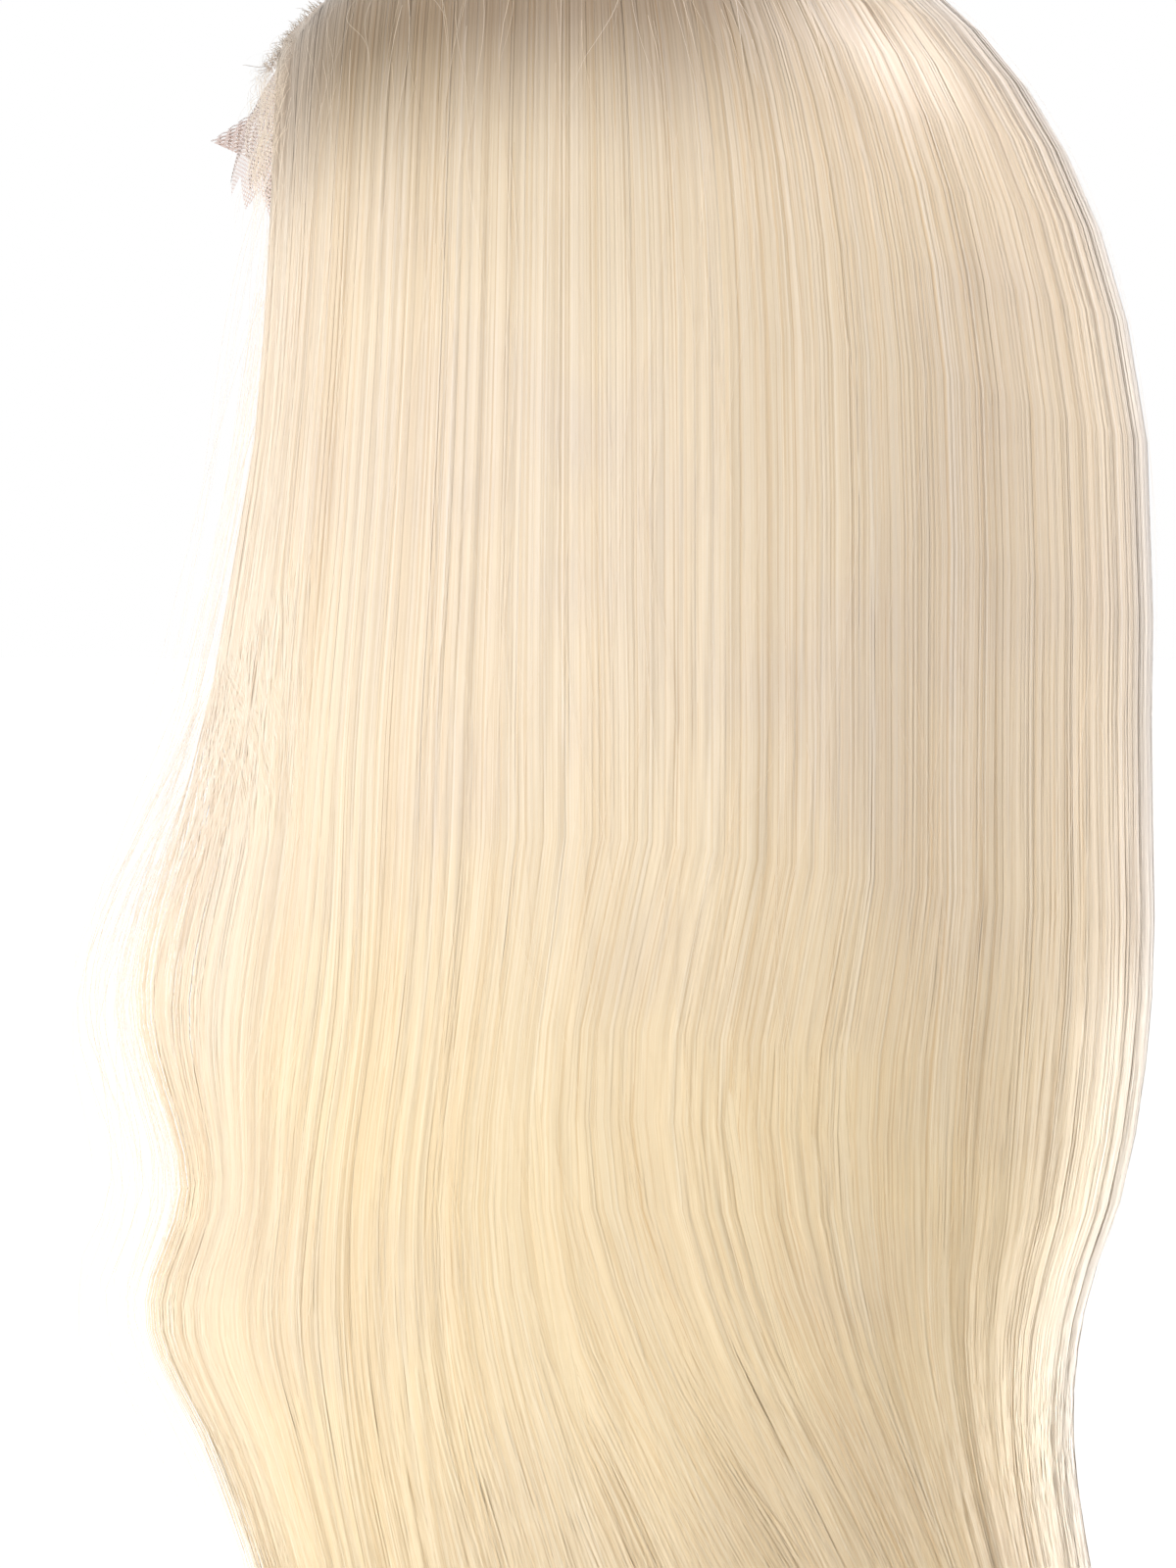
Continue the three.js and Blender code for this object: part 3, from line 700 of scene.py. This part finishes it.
def weft_material():
    """The look of hair in bulk: fine streaks that follow it down, with a little relief."""
    material, nodes, links, shader, colour = hair_shader("hair_weft")
    links.new(colour.outputs["Colour"], shader.inputs["Base Color"])
    place = nodes.new("ShaderNodeUVMap")
    place.uv_map = "UVMap"
    stretch = nodes.new("ShaderNodeMapping")
    stretch.inputs["Scale"].default_value = STREAKS
    links.new(place.outputs["UV"], stretch.inputs["Vector"])
    streaks = nodes.new("ShaderNodeTexNoise")
    streaks.noise_dimensions = "2D"
    streaks.inputs["Scale"].default_value = 1
    streaks.inputs["Detail"].default_value = STREAK_DETAIL
    links.new(stretch.outputs["Vector"], streaks.inputs["Vector"])
    tone = nodes.new("ShaderNodeMapRange")
    tone.inputs["From Min"].default_value = STREAK_FACTOR[0]
    tone.inputs["From Max"].default_value = STREAK_FACTOR[1]
    tone.inputs["To Min"].default_value = STREAK_TONE[0]
    tone.inputs["To Max"].default_value = STREAK_TONE[1]
    links.new(streaks.outputs["Fac"], tone.inputs["Value"])
    links.new(tone.outputs["Result"], colour.inputs["Tone"])
    split = nodes.new("ShaderNodeSeparateXYZ")
    links.new(place.outputs["UV"], split.inputs[0])
    along = math_node(nodes, links, "DIVIDE", split.outputs["Y"], HAIR_LENGTH)
    links.new(along, colour.inputs["Along"])
    bump = nodes.new("ShaderNodeBump")
    bump.inputs["Strength"].default_value = STREAK_RELIEF
    bump.inputs["Distance"].default_value = STREAK_HEIGHT
    links.new(streaks.outputs["Fac"], bump.inputs["Height"])
    links.new(bump.outputs["Normal"], shader.inputs["Normal"])
    return material


hair_strand = strand_material()
hair_weft = weft_material()


# The wefts are the dense inner hair, sewn row on row and too thick to see through. Each stretch of
# them is a closed form with grooves between its locks, and the strands lie on it.
WEFT_SINK = 0.0008
WEFT_LEAST = 0.0012
WEFT_SHORTER = 0.016
WEFT_COLUMNS_PER_LOCK = 10
WEFT_FACE_GAP = 0.03
WEFT_LOW_GAP = 0.12
FACE_THIN_TO = 0.3
FREE_ROWS = (OVER_HEAD_ROWS - 0.5, OVER_HEAD_ROWS + 3)
SOFT_NOTCH = 0.5
UV_WIDTH = 0.29
SHARP_ANGLE = math.radians(40)


def clear_of_face(around, row):
    """The inner hair stops short of the front edge, most where the hair hangs free."""
    gap = lerp(WEFT_FACE_GAP, WEFT_LOW_GAP, smoothstep(row, *FREE_ROWS))
    return np.where(around < FACE_THIN_TO, gap + around * (1 - gap / FACE_THIN_TO), around)


def stations_of(node):
    """The rows that hold points. The hair beside the face waves tightly and has more of them."""
    return FACE_STATIONS if node.startswith(("face_lock", "hair_front")) else STATIONS


def lock_length(swell, stagger):
    """The hair's length across a lock. It ends in a point at the lock's middle."""
    return HAIR_LENGTH - TIP_STAGGER * stagger - SOFT_NOTCH * LOCK_NOTCH * (1 - swell)


def weft_stretch(name, stations, start, end, locks):
    """One stretch of the inner hair, a closed wall from its roots to its pointed ends."""
    columns = locks * WEFT_COLUMNS_PER_LOCK + 1
    rows = len(stations)
    turn = np.linspace(start, end, columns)[:, None]
    row = stations[None, :]
    swell, stagger, _ = lock_shape(turn)
    length = lock_length(swell, stagger) - WEFT_SHORTER
    around = clear_of_face(np.where(turn > 1, 2 - turn, turn), row)
    point, inward = hair_surface(around, row, length)
    down = np.clip(-point[..., 2] / HAIR_LENGTH, 0, 1)
    relief = lock_relief(row, around, swell, stagger)
    share = read_column(FALL, DEPTH, around) * read_column(LEVELS, LEVEL_DEPTH, down)
    depth = np.maximum(HAIR_DEPTH * share, relief + TIP_DEPTH)
    sink = np.minimum(relief + WEFT_SINK * smoothstep(row, 0, 3), depth - WEFT_LEAST)
    layers = []
    for inset, seat in ((sink, ROOT_HEIGHT), (depth, 0)):
        layer = point + inward * inset[..., None]
        layers.append(on_its_side(keep_out_of_head(layer, CAP_WALL + HAIR_SEAT_GAP + seat), turn))
    flat = np.stack(np.broadcast_arrays(turn * UV_WIDTH, row / HAIR_ROWS * HAIR_LENGTH), -1)
    outer = grid_faces(columns, rows)
    count = columns * rows
    index = np.arange(count).reshape(columns, rows)
    rims = []
    for edge in (index[:, 0], index[-1, :], index[::-1, -1], index[0, ::-1]):
        rims.append(np.stack([edge[:-1], edge[1:], edge[1:] + count, edge[:-1] + count], axis=1))
    faces = np.concatenate([outer, outer[:, ::-1] + count] + rims)
    uv = np.concatenate([flat.reshape(-1, 2)] * 2)
    return new_mesh(name, np.concatenate([layer.reshape(-1, 3) for layer in layers]), faces, uv)


for node, start, end, locks in STRETCHES:
    weft = weft_stretch("weft_" + node, stations_of(node), start, end, locks)
    weft.data.set_sharp_from_angle(angle=SHARP_ANGLE)
    give_material(weft, hair_weft)
    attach(weft, "root")
    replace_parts(weft, node)


# The strands are what the eye sees: thousands of fine hairs, in tufts that draw together and sway
# towards their ends. Each is a thin ribbon from its root to its tip. Most lie on the outside, some line
# the hollow, and some only fill the ends.
RANDOM = np.random.default_rng(20)
STRAND_COUNT = 15900
STRAND_WIDTH = (0.0003, 0.00055)
INSIDE_SHARE = 0.1
ENDS_SHARE = 0.13
TUFTS = 260
TUFT_TURNS = np.sort(RANDOM.uniform(0, 2, TUFTS))
TUFT_SPREAD = 0.004
TUFT_MIX = 7919.0
TUFT_DRAW = 0.2
LOCK_DRAW = 0.04
DRAWN_FROM_ROW = 7
ENDS_FROM_ROW = OVER_HEAD_ROWS + HANGING_ROWS - 3
TUFT_WAVE = 0.0035
TUFT_WAVE_PER_ROW = 0.6
STRAND_WAVE = 0.0012
STRAND_WAVE_PER_ROW = 1.1
SIDE_SWAY = 0.04
SWAY_ROW = 13
SWAY_ROWS = 6
SWAY_TURNS = (0.2, 0.5, 0.95)
FACE_THINNED = 0.17
FACE_PULL_POWER = 0.6
FACE_EDGE = 0.018
SUB_LOCKS = 34
SUB_LOCK_DRIFT = 0.35
SUB_LOCK_DRIFT_PER_ROW = 0.35
SUB_LOCK_DRIFT_PER_TURN = 5
SUB_LOCK_UNEVENNESS = ((0.9, 23), (0.5, 61))
SUB_LOCK_RIPPLE = 0.0002
SUB_LOCK_TILT = 0.07
RIPPLE_ROWS = (2, 10)
TILT_ROWS = (1, 7)
CALM_BACK = (0.66, 0.9)
CALM_RIPPLE = 0.8
CALM_TILT = 0.9
STRAND_TILT = 0.05
STRAND_TWIST = 0.12
TWIST_WAVE = 0.05
TWIST_WAVES = 5
ROOT_TAPER = (0, 0.08)
ROOT_WIDTH_SHARE = 0.5
TIP_TAPER = (0.72, 1)
TIP_WIDTH_SHARE = 0.25
TONE_SPREAD = 0.22
TUFT_TONE = 0.16
ROOT_SINK = 0.0007
ROOT_SCATTER = 0.8
ROOT_RISE_ROWS = 2.5
STRAND_SEAT = 0.0004
SURFACE_STEP = 0.004
TURN_SAMPLES = 800
TURN_ROWS = (3, 9, 15)
LOW_ROOTS_SHARE = 0.5
BACK_LOW_ROOTS = 0.35
BACK_TURNS = (0.5, 0.62)
ROOT_STATIONS = (1, 8)
ENDS_STATIONS = (13, 6)
INSIDE_STATIONS = (12, 2)
INSIDE_DEPTH = 0.75
INSIDE_LEAST = 0.5
INSIDE_SPREAD = 0.55
OUTSIDE_DEPTH = 0.0003
OVERHANG_SPREAD = 0.0055
SHORTEST = 0.03
LOOSE = 2.5
LOCKS_PER_PIECE = 5


def strand_turns(count):
    """Turns round the head, as many in each place as the hair is wide there."""
    turn = np.linspace(0, 2, TURN_SAMPLES + 1)
    around = np.where(turn > 1, 2 - turn, turn)
    share = np.zeros(TURN_SAMPLES)
    for row in TURN_ROWS:
        width = np.linalg.norm(np.diff(hair_surface(around, row, HAIR_LENGTH)[0], axis=0), axis=-1)
        share += width / width.sum()
    place = np.concatenate([[0], np.cumsum(share)]) / share.sum()
    return np.sort(np.interp(RANDOM.uniform(0, 1, count), place, turn))


def unit(vector):
    """Vectors of the same direction, one long."""
    return vector / (np.linalg.norm(vector, axis=-1, keepdims=True) + 1e-12)


def ribbons(path, out, width, tone, along, twist):
    """Thin ribbons, one along each row of the path: points, faces, UV, and each point's looks."""
    count, steps = path.shape[:2]
    forward = unit(np.gradient(path, axis=1))
    side = unit(np.cross(out, forward))
    across = side * np.cos(twist)[..., None] + np.cross(forward, side) * np.sin(twist)[..., None]
    half = across * width[..., None] / 2
    corner = ((np.arange(count) * steps)[:, None] + np.arange(steps - 1)).ravel() * 2
    uv = np.empty((count, steps, 2, 2))
    uv[..., 0, 0] = 0
    uv[..., 1, 0] = 1
    uv[..., 1] = along[:, :, None]
    tone = np.broadcast_to(tone, along.shape)
    looks = np.concatenate([out, tone[..., None], along[..., None]], axis=-1)
    return (
        np.stack([path - half, path + half], axis=2).reshape(-1, 3),
        np.stack([corner, corner + 2, corner + 3, corner + 1], axis=1),
        uv.reshape(-1, 2),
        np.repeat(looks.reshape(-1, 5), 2, axis=0),
    )


def strand_piece(name, groups):
    """One mesh of groups of ribbons. Each hair is lit as it lies, by its own way out."""
    before = np.cumsum([0] + [len(group[0]) for group in groups])
    points = np.concatenate([group[0] for group in groups])
    faces = np.concatenate([group[1] + offset for group, offset in zip(groups, before)])
    piece = new_mesh(name, points, faces, np.concatenate([group[2] for group in groups]))
    looks = np.concatenate([group[3] for group in groups]).astype(np.float32)
    outward = piece.data.attributes.new("outward", "FLOAT_VECTOR", "POINT")
    outward.data.foreach_set("vector", looks[:, :3].ravel())
    for label, column in (("tone", 3), ("along", 4)):
        own = piece.data.attributes.new(label, "FLOAT", "POINT")
        own.data.foreach_set("value", looks[:, column])
    give_material(piece, hair_strand)
    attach(piece, "root")
    return piece


def way_out(around, row, length, path, inward, tilt):
    """The way out of the hair's surface at each point of a path, tilted sideways by an angle."""
    side = hair_surface(around + SURFACE_STEP, row, length)[0]
    side = side - hair_surface(around - SURFACE_STEP, row, length)[0]
    forward = unit(np.gradient(path, axis=1))
    side = unit(side - forward * np.sum(side * forward, axis=-1, keepdims=True))
    out = np.cross(side, forward)
    out *= -np.sign(np.sum(out * inward, axis=-1, keepdims=True))
    return out * np.cos(tilt)[..., None] + side * np.sin(tilt)[..., None]


def tuft_number(home):
    """A number of each tuft's own, from 0 to 1."""
    return (home * TUFT_MIX) % 1


def gathered(turn, home, centre, row, loose):
    """Turns drawn to each strand's tuft and, at the ends, to its lock's middle, with slow waves."""
    hang = smoothstep(row, DRAWN_FROM_ROW, HAIR_ROWS)
    drawn = lerp(turn[:, None], home[:, None], TUFT_DRAW * hang)
    drawn = lerp(drawn, centre[:, None], LOCK_DRAW * smoothstep(row, ENDS_FROM_ROW, HAIR_ROWS))
    phase = 2 * np.pi * tuft_number(home)[:, None]
    wave = TUFT_WAVE * np.sin(row * TUFT_WAVE_PER_ROW + phase)
    phase = RANDOM.uniform(0, 2 * np.pi, (len(turn), 1))
    wave = wave + STRAND_WAVE * loose[:, None] * np.sin(row * STRAND_WAVE_PER_ROW + phase)
    return np.clip(drawn + wave * hang, 0.001, 1.999)


def swayed(around, row):
    """The hair of the sides swings back and forth where it hangs free."""
    sway = np.sin(np.pi * (row - SWAY_ROW) / SWAY_ROWS) * smoothstep(row, SWAY_ROW - 2, SWAY_ROW + 1)
    return around - SIDE_SWAY * sway * bump_between(around, *SWAY_TURNS)


def thinned_at_face(around, row):
    """Beside the face the free hair lies back from the front edge, each strand by its own amount."""
    pull = RANDOM.uniform(0, 1, (len(row), 1)) ** FACE_PULL_POWER * smoothstep(row, *FREE_ROWS)
    around = around + FACE_THINNED * np.clip(1 - around / FACE_THINNED, 0, 1) * pull
    return np.maximum(around, FACE_EDGE)


def sub_lock_phase(around, row):
    """How far a point is across the sub-locks, as an angle. The sub-locks are unevenly wide."""
    uneven = SUB_LOCK_DRIFT * np.sin(row * SUB_LOCK_DRIFT_PER_ROW + SUB_LOCK_DRIFT_PER_TURN * around)
    for share, waves in SUB_LOCK_UNEVENNESS:
        uneven = uneven + share * np.sin(waves * around)
    return 2 * np.pi * (around * SUB_LOCKS + uneven)


def lay_strands(turn, rows, sink, overhang, loose, facing):
    """Strands down those rows, drawn into tufts and sub-locks on the hair's surface."""
    count = len(turn)
    row = np.repeat(rows[None, :], count, axis=0)
    row[:, 0] = np.maximum(row[:, 0] - RANDOM.uniform(0, ROOT_SCATTER, count), 0)
    nearest = np.searchsorted(TUFT_TURNS, turn + RANDOM.normal(0, TUFT_SPREAD, count))
    home = TUFT_TURNS[np.clip(nearest, 0, TUFTS - 1)]
    swell, stagger, centre = lock_shape(turn)
    drawn = gathered(turn, home, centre, row, loose)
    around = np.where(turn[:, None] > 1, 2 - drawn, drawn)
    around = thinned_at_face(swayed(around, row), row)
    length = (lock_length(swell, stagger) + overhang)[:, None]
    point, inward = hair_surface(around, row, length)
    phase = sub_lock_phase(around, row)
    calm = smoothstep(around, *CALM_BACK)
    relief = lock_relief(row, around, swell[:, None], stagger[:, None])
    ripple = SUB_LOCK_RIPPLE * (1 - np.cos(phase)) * smoothstep(row, *RIPPLE_ROWS)
    ripple = ripple * (1 - CALM_RIPPLE * calm)
    rise = np.where(facing[:, None] < 0, 1, smoothstep(row - row[:, :1], 0, ROOT_RISE_ROWS))
    depth = relief + ripple + lerp(ROOT_SINK, sink[:, None], rise)
    path = keep_out_of_head(point + inward * depth[..., None], CAP_WALL + HAIR_SEAT_GAP + STRAND_SEAT)
    tilt = SUB_LOCK_TILT * np.sin(phase) * smoothstep(row, *TILT_ROWS)
    tilt = (tilt + RANDOM.normal(0, STRAND_TILT, (count, 1))) * (1 - CALM_TILT * calm)
    out = way_out(around, row, length, path, inward, tilt) * facing[:, None, None]
    along = (row - row[:, :1]) / (row[:, -1:] - row[:, :1])
    width = RANDOM.uniform(*STRAND_WIDTH, (count, 1))
    width = width * lerp(ROOT_WIDTH_SHARE, 1, smoothstep(along, *ROOT_TAPER))
    width = width * lerp(1, TIP_WIDTH_SHARE, smoothstep(along, *TIP_TAPER))
    tone = RANDOM.normal(0.5, TONE_SPREAD, count) + TUFT_TONE * (tuft_number(home) - 0.5)
    twist = RANDOM.normal(0, STRAND_TWIST, (count, 1))
    twist = twist + TWIST_WAVE * np.sin(along * TWIST_WAVES + RANDOM.uniform(0, 6, (count, 1)))
    path = on_its_side(path, turn[:, None])
    out = on_its_side(out, turn[:, None])
    return ribbons(path, out, width, np.clip(tone, 0, 1)[:, None], row / HAIR_ROWS, twist)


turns = strand_turns(STRAND_COUNT)
chance = RANDOM.uniform(0, 1, (5, STRAND_COUNT))
inside = chance[0] < INSIDE_SHARE
only_ends = chance[0] > 1 - ENDS_SHARE
edge = np.minimum(turns, 2 - turns)
low_root = chance[1] < LOW_ROOTS_SHARE + BACK_LOW_ROOTS * smoothstep(edge, *BACK_TURNS)
first_station = np.where(low_root, ROOT_STATIONS[0] + ROOT_STATIONS[1] * chance[2], 0)
first_station = np.where(only_ends, ENDS_STATIONS[0] + ENDS_STATIONS[1] * chance[2], first_station)
first_station = np.where(inside, INSIDE_STATIONS[0] + INSIDE_STATIONS[1] * chance[2], first_station)
first_row = STATIONS[first_station.astype(int)]
inside_depth = INSIDE_DEPTH * HAIR_DEPTH * read_column(FALL, DEPTH, edge)
inside_depth = inside_depth * (INSIDE_LEAST + INSIDE_SPREAD * chance[3])
sinks = np.where(inside, inside_depth, OUTSIDE_DEPTH * chance[3])
overhangs = RANDOM.normal(0, OVERHANG_SPREAD, STRAND_COUNT) - SHORTEST * chance[4] ** 3
looseness = np.where(inside | only_ends, LOOSE, 1.0)
facings = np.where(inside, -1.0, 1.0)
for node, start, end, locks in STRETCHES:
    cuts = np.linspace(start, end, math.ceil(locks / LOCKS_PER_PIECE) + 1)
    for number, (first, last) in enumerate(zip(cuts, cuts[1:])):
        groups = []
        stations = stations_of(node)
        for top in STATIONS:
            own = (turns >= first) & (turns < last) & (first_row == top)
            if own.any():
                looks = (sinks[own], overhangs[own], looseness[own], facings[own])
                groups.append(lay_strands(turns[own], stations[stations >= top], *looks))
        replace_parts(strand_piece("strands_%s_%d" % (node, number), groups), node)


# Stray hairs stand off the rest: short new ones along the part and the front edge, long thin ones
# that float before the face, and some that cross the others. Each is one fine ribbon.
STRAY_WIDTH = (0.00008, 0.00017)
STRAY_STEPS = 14
STRAY_SPREAD = np.linspace(0, 1, STRAY_STEPS)
STRAY_CROWDING = 1.5
STRAY_DRIFT_POWER = 1.5
STRAY_CURL = 0.2
STRAY_OPENING = (0.4, 1)
STRAY_ROUNDNESS = 0.8
STRAY_LENGTH = 0.97 * HAIR_LENGTH
STRAY_TIP_SHARE = 0.35
# The tone differs at random but only over the light half: painted light, for the light that shines
# through stray hairs.
STRAY_TONE_AND_LIGHT = (0.5, 1)
STRAY_TWIST = 0.4
FRONT_LIMIT = -0.1365
STRAY_KINDS = (
    # name, count, least along (keeps them out of most of the painted root shade), turns, first row,
    # rows, lift, forward, sideways
    ("part_fuzz", 1500, 0.31, (0, 0.5), (0, 1.6), (0.3, 1.0), (0.0003, 0.0022), (0, 0.001), 0.004),
    ("front_fuzz", 600, 0.34, (0, 0.05), (1.2, 5), (0.5, 1.8), (0.0002, 0.001), (0.0008, 0.0045), 0.004),
    ("face_strays", 110, 0.4, (0, 0.05), (5, 9), (3, 6), (0, 0.002), (0.0005, 0.012), 0.03),
    ("fringe_wisps", 260, 0.4, (0, 0.1), (9, 11.5), (4.5, 9), (0, 0.002), (0.0005, 0.016), 0.03),
    ("cross_strays", 700, 0.29, (0.05, 1), (2.5, 16), (2, 6), (0.0003, 0.0016), (0, 0), 0.03),
)


def stray_piece(name, count, least_along, turns, first_row, rows, lift, forward, sideways):
    """One mesh of stray hairs of a kind, on both halves of the head."""
    turn = lerp(*turns, RANDOM.uniform(0, 1, (count, 1)) ** STRAY_CROWDING)
    start = RANDOM.uniform(*first_row, (count, 1))
    row = np.minimum(start + RANDOM.uniform(*rows, (count, 1)) * STRAY_SPREAD, HAIR_ROWS)
    drift = RANDOM.normal(0, sideways, (count, 1)) * STRAY_SPREAD**STRAY_DRIFT_POWER
    curl = RANDOM.normal(0, STRAY_CURL * sideways, (count, 1)) * np.sin(np.pi * STRAY_SPREAD * 2)
    around = np.clip(turn + drift + curl, 0.002, 0.998)
    point, inward = hair_surface(around, row, np.full_like(row, STRAY_LENGTH))
    opening = RANDOM.uniform(*STRAY_OPENING, (count, 1))
    rise = np.sin(np.pi * opening * STRAY_SPREAD) ** STRAY_ROUNDNESS + (1 - opening) * STRAY_SPREAD
    path = point - inward * (RANDOM.uniform(*lift, (count, 1)) * rise)[..., None]
    lean = RANDOM.uniform(0, 1, (count, 1)) ** 2 * forward[1] * rise
    path[..., 1] = np.maximum(path[..., 1] - lean - forward[0] * rise, FRONT_LIMIT)
    half = np.where(RANDOM.uniform(0, 1, (count, 1)) < 0.5, 0.5, 1.5)
    path = on_its_side(path, half)
    out = on_its_side(-inward, half)
    along = np.broadcast_to(STRAY_SPREAD, row.shape)
    width = RANDOM.uniform(*STRAY_WIDTH, (count, 1)) * lerp(1, STRAY_TIP_SHARE, along**3)
    tone = RANDOM.uniform(*STRAY_TONE_AND_LIGHT, (count, 1))
    twist = RANDOM.uniform(-STRAY_TWIST, STRAY_TWIST, (count, 1)) + 0 * along
    # Strays count as at least this far along, which keeps them out of most of the painted root shade.
    shown_along = np.maximum(row / HAIR_ROWS, least_along)
    return strand_piece(name, [ribbons(path, out, width, tone, shown_along, twist)])


for kind in STRAY_KINDS:
    stray_piece(*kind).visible_shadow = False


# The floor and the light: a plain pale floor, and an even white room with a shaded quarter behind the
# wearer. A large soft lamp stands on the face's side of the camera, and smaller ones high behind, before
# the face and low behind.
FLOOR_LEVEL = -0.62
FLOOR_REACH = 30
FLOOR_ROUGHNESS = 0.9
FLOOR_COLOUR = (0.8, 0.8, 0.8, 1)
FLOOR_COLOUR_SEEN = (0.1, 0.1, 0.1, 1)
FLOOR_GLOW = 0.2
FLOOR_GLOW_SEEN = 0.97
WHITE = (1, 1, 1, 1)
ROOM_LEVEL = 0.49
ROOM_TOP = 0.31
ROOM_RISE = (0.0, 0.7)
BACKDROP_LEVEL = 0.45
BACKDROP_SPREAD = (0.2, 0.85)
SHADE_LEVEL = 0.53
SHADE_SPREAD = (0.1, 0.85)
TOWARDS_SHADE = (0.34, 0.94, 0.0)
LAMPS = (
    # name, aimed at height, azimuth, elevation, distance, size, power, colour
    ("key", -0.22, 68, -4, 2.0, 2.0, 45, (1.0, 0.98, 0.95)),
    ("rim", -0.1, 190, 54, 1.5, 0.7, 24, (1.0, 0.97, 1.0)),
    ("front", -0.3, 2, -5, 1.2, 0.6, 3.0, (1.0, 0.98, 0.96)),
    ("low", -0.49, 208, -6, 0.7, 0.45, 4.6, (1.0, 0.99, 0.97)),
)


def floor_look():
    """A pale floor that glows white where it is seen, and lights the hair only a little."""
    material, nodes, links, shader = new_material("floor", FLOOR_ROUGHNESS)
    shader.inputs["Emission Color"].default_value = WHITE
    seen = nodes.new("ShaderNodeLightPath").outputs["Is Camera Ray"]
    glow = math_node(nodes, links, "MULTIPLY", seen, FLOOR_GLOW_SEEN)
    glow = math_node(nodes, links, "MAXIMUM", glow, FLOOR_GLOW)
    links.new(glow, shader.inputs["Emission Strength"])
    mix = nodes.new("ShaderNodeMix")
    mix.data_type = "RGBA"
    mix.inputs["A"].default_value = FLOOR_COLOUR
    mix.inputs["B"].default_value = FLOOR_COLOUR_SEEN
    links.new(seen, mix.inputs["Factor"])
    links.new(mix.outputs["Result"], shader.inputs["Base Color"])
    return material


floor_mesh = bpy.data.meshes.new("floor")
floor_sides = ((-1, -1), (1, -1), (1, 1), (-1, 1))
floor_corners = [(x * FLOOR_REACH, y * FLOOR_REACH, FLOOR_LEVEL) for x, y in floor_sides]
floor_mesh.from_pydata(floor_corners, [], [(0, 1, 2, 3)])
floor = bpy.data.objects.new("floor", floor_mesh)
bpy.context.scene.collection.objects.link(floor)
give_material(floor, floor_look())

world = bpy.data.worlds.new("room")
bpy.context.scene.world = world
world.use_nodes = True
world_nodes, world_links = world.node_tree.nodes, world.node_tree.links
background = world_nodes["Background"]
background.inputs["Color"].default_value = WHITE
sky = world_nodes.new("ShaderNodeTexCoord").outputs["Generated"]


def share_towards(direction, spread, level):
    """A part of the room's light that grows towards a direction."""
    dot = world_nodes.new("ShaderNodeVectorMath")
    dot.operation = "DOT_PRODUCT"
    dot.inputs[1].default_value = direction
    world_links.new(sky, dot.inputs[0])
    return ease(world_nodes, world_links, dot.outputs["Value"], *spread, 0, level)


sky_height = world_nodes.new("ShaderNodeSeparateXYZ")
world_links.new(sky, sky_height.inputs[0])
room = ease(world_nodes, world_links, sky_height.outputs["Z"], *ROOM_RISE, ROOM_LEVEL, ROOM_TOP)
shade = share_towards(TOWARDS_SHADE, SHADE_SPREAD, SHADE_LEVEL)
backdrop = share_towards(-towards_camera, BACKDROP_SPREAD, BACKDROP_LEVEL)
room = math_node(world_nodes, world_links, "SUBTRACT", room, shade)
room = math_node(world_nodes, world_links, "ADD", room, backdrop)
seen_white = world_nodes.new("ShaderNodeMix")
seen_white.inputs["B"].default_value = 1.0
sight = world_nodes.new("ShaderNodeLightPath").outputs["Is Camera Ray"]
world_links.new(sight, seen_white.inputs["Factor"])
world_links.new(room, seen_white.inputs["A"])
world_links.new(seen_white.outputs["Result"], background.inputs["Strength"])

for name, height, azimuth, elevation, distance, size, power, colour in LAMPS:
    lamp = bpy.data.lights.new(name, "AREA")
    lamp.size = size
    lamp.energy = power
    lamp.color = colour
    holder = bpy.data.objects.new(name, lamp)
    away = direction_to(math.radians(azimuth), math.radians(elevation))
    holder.location = Vector((LOOK_AT.x, LOOK_AT.y, height)) + distance * away
    holder.rotation_euler = away.to_track_quat("Z", "Y").to_euler()
    bpy.context.scene.collection.objects.link(holder)

bpy.context.scene.view_settings.view_transform = "Standard"
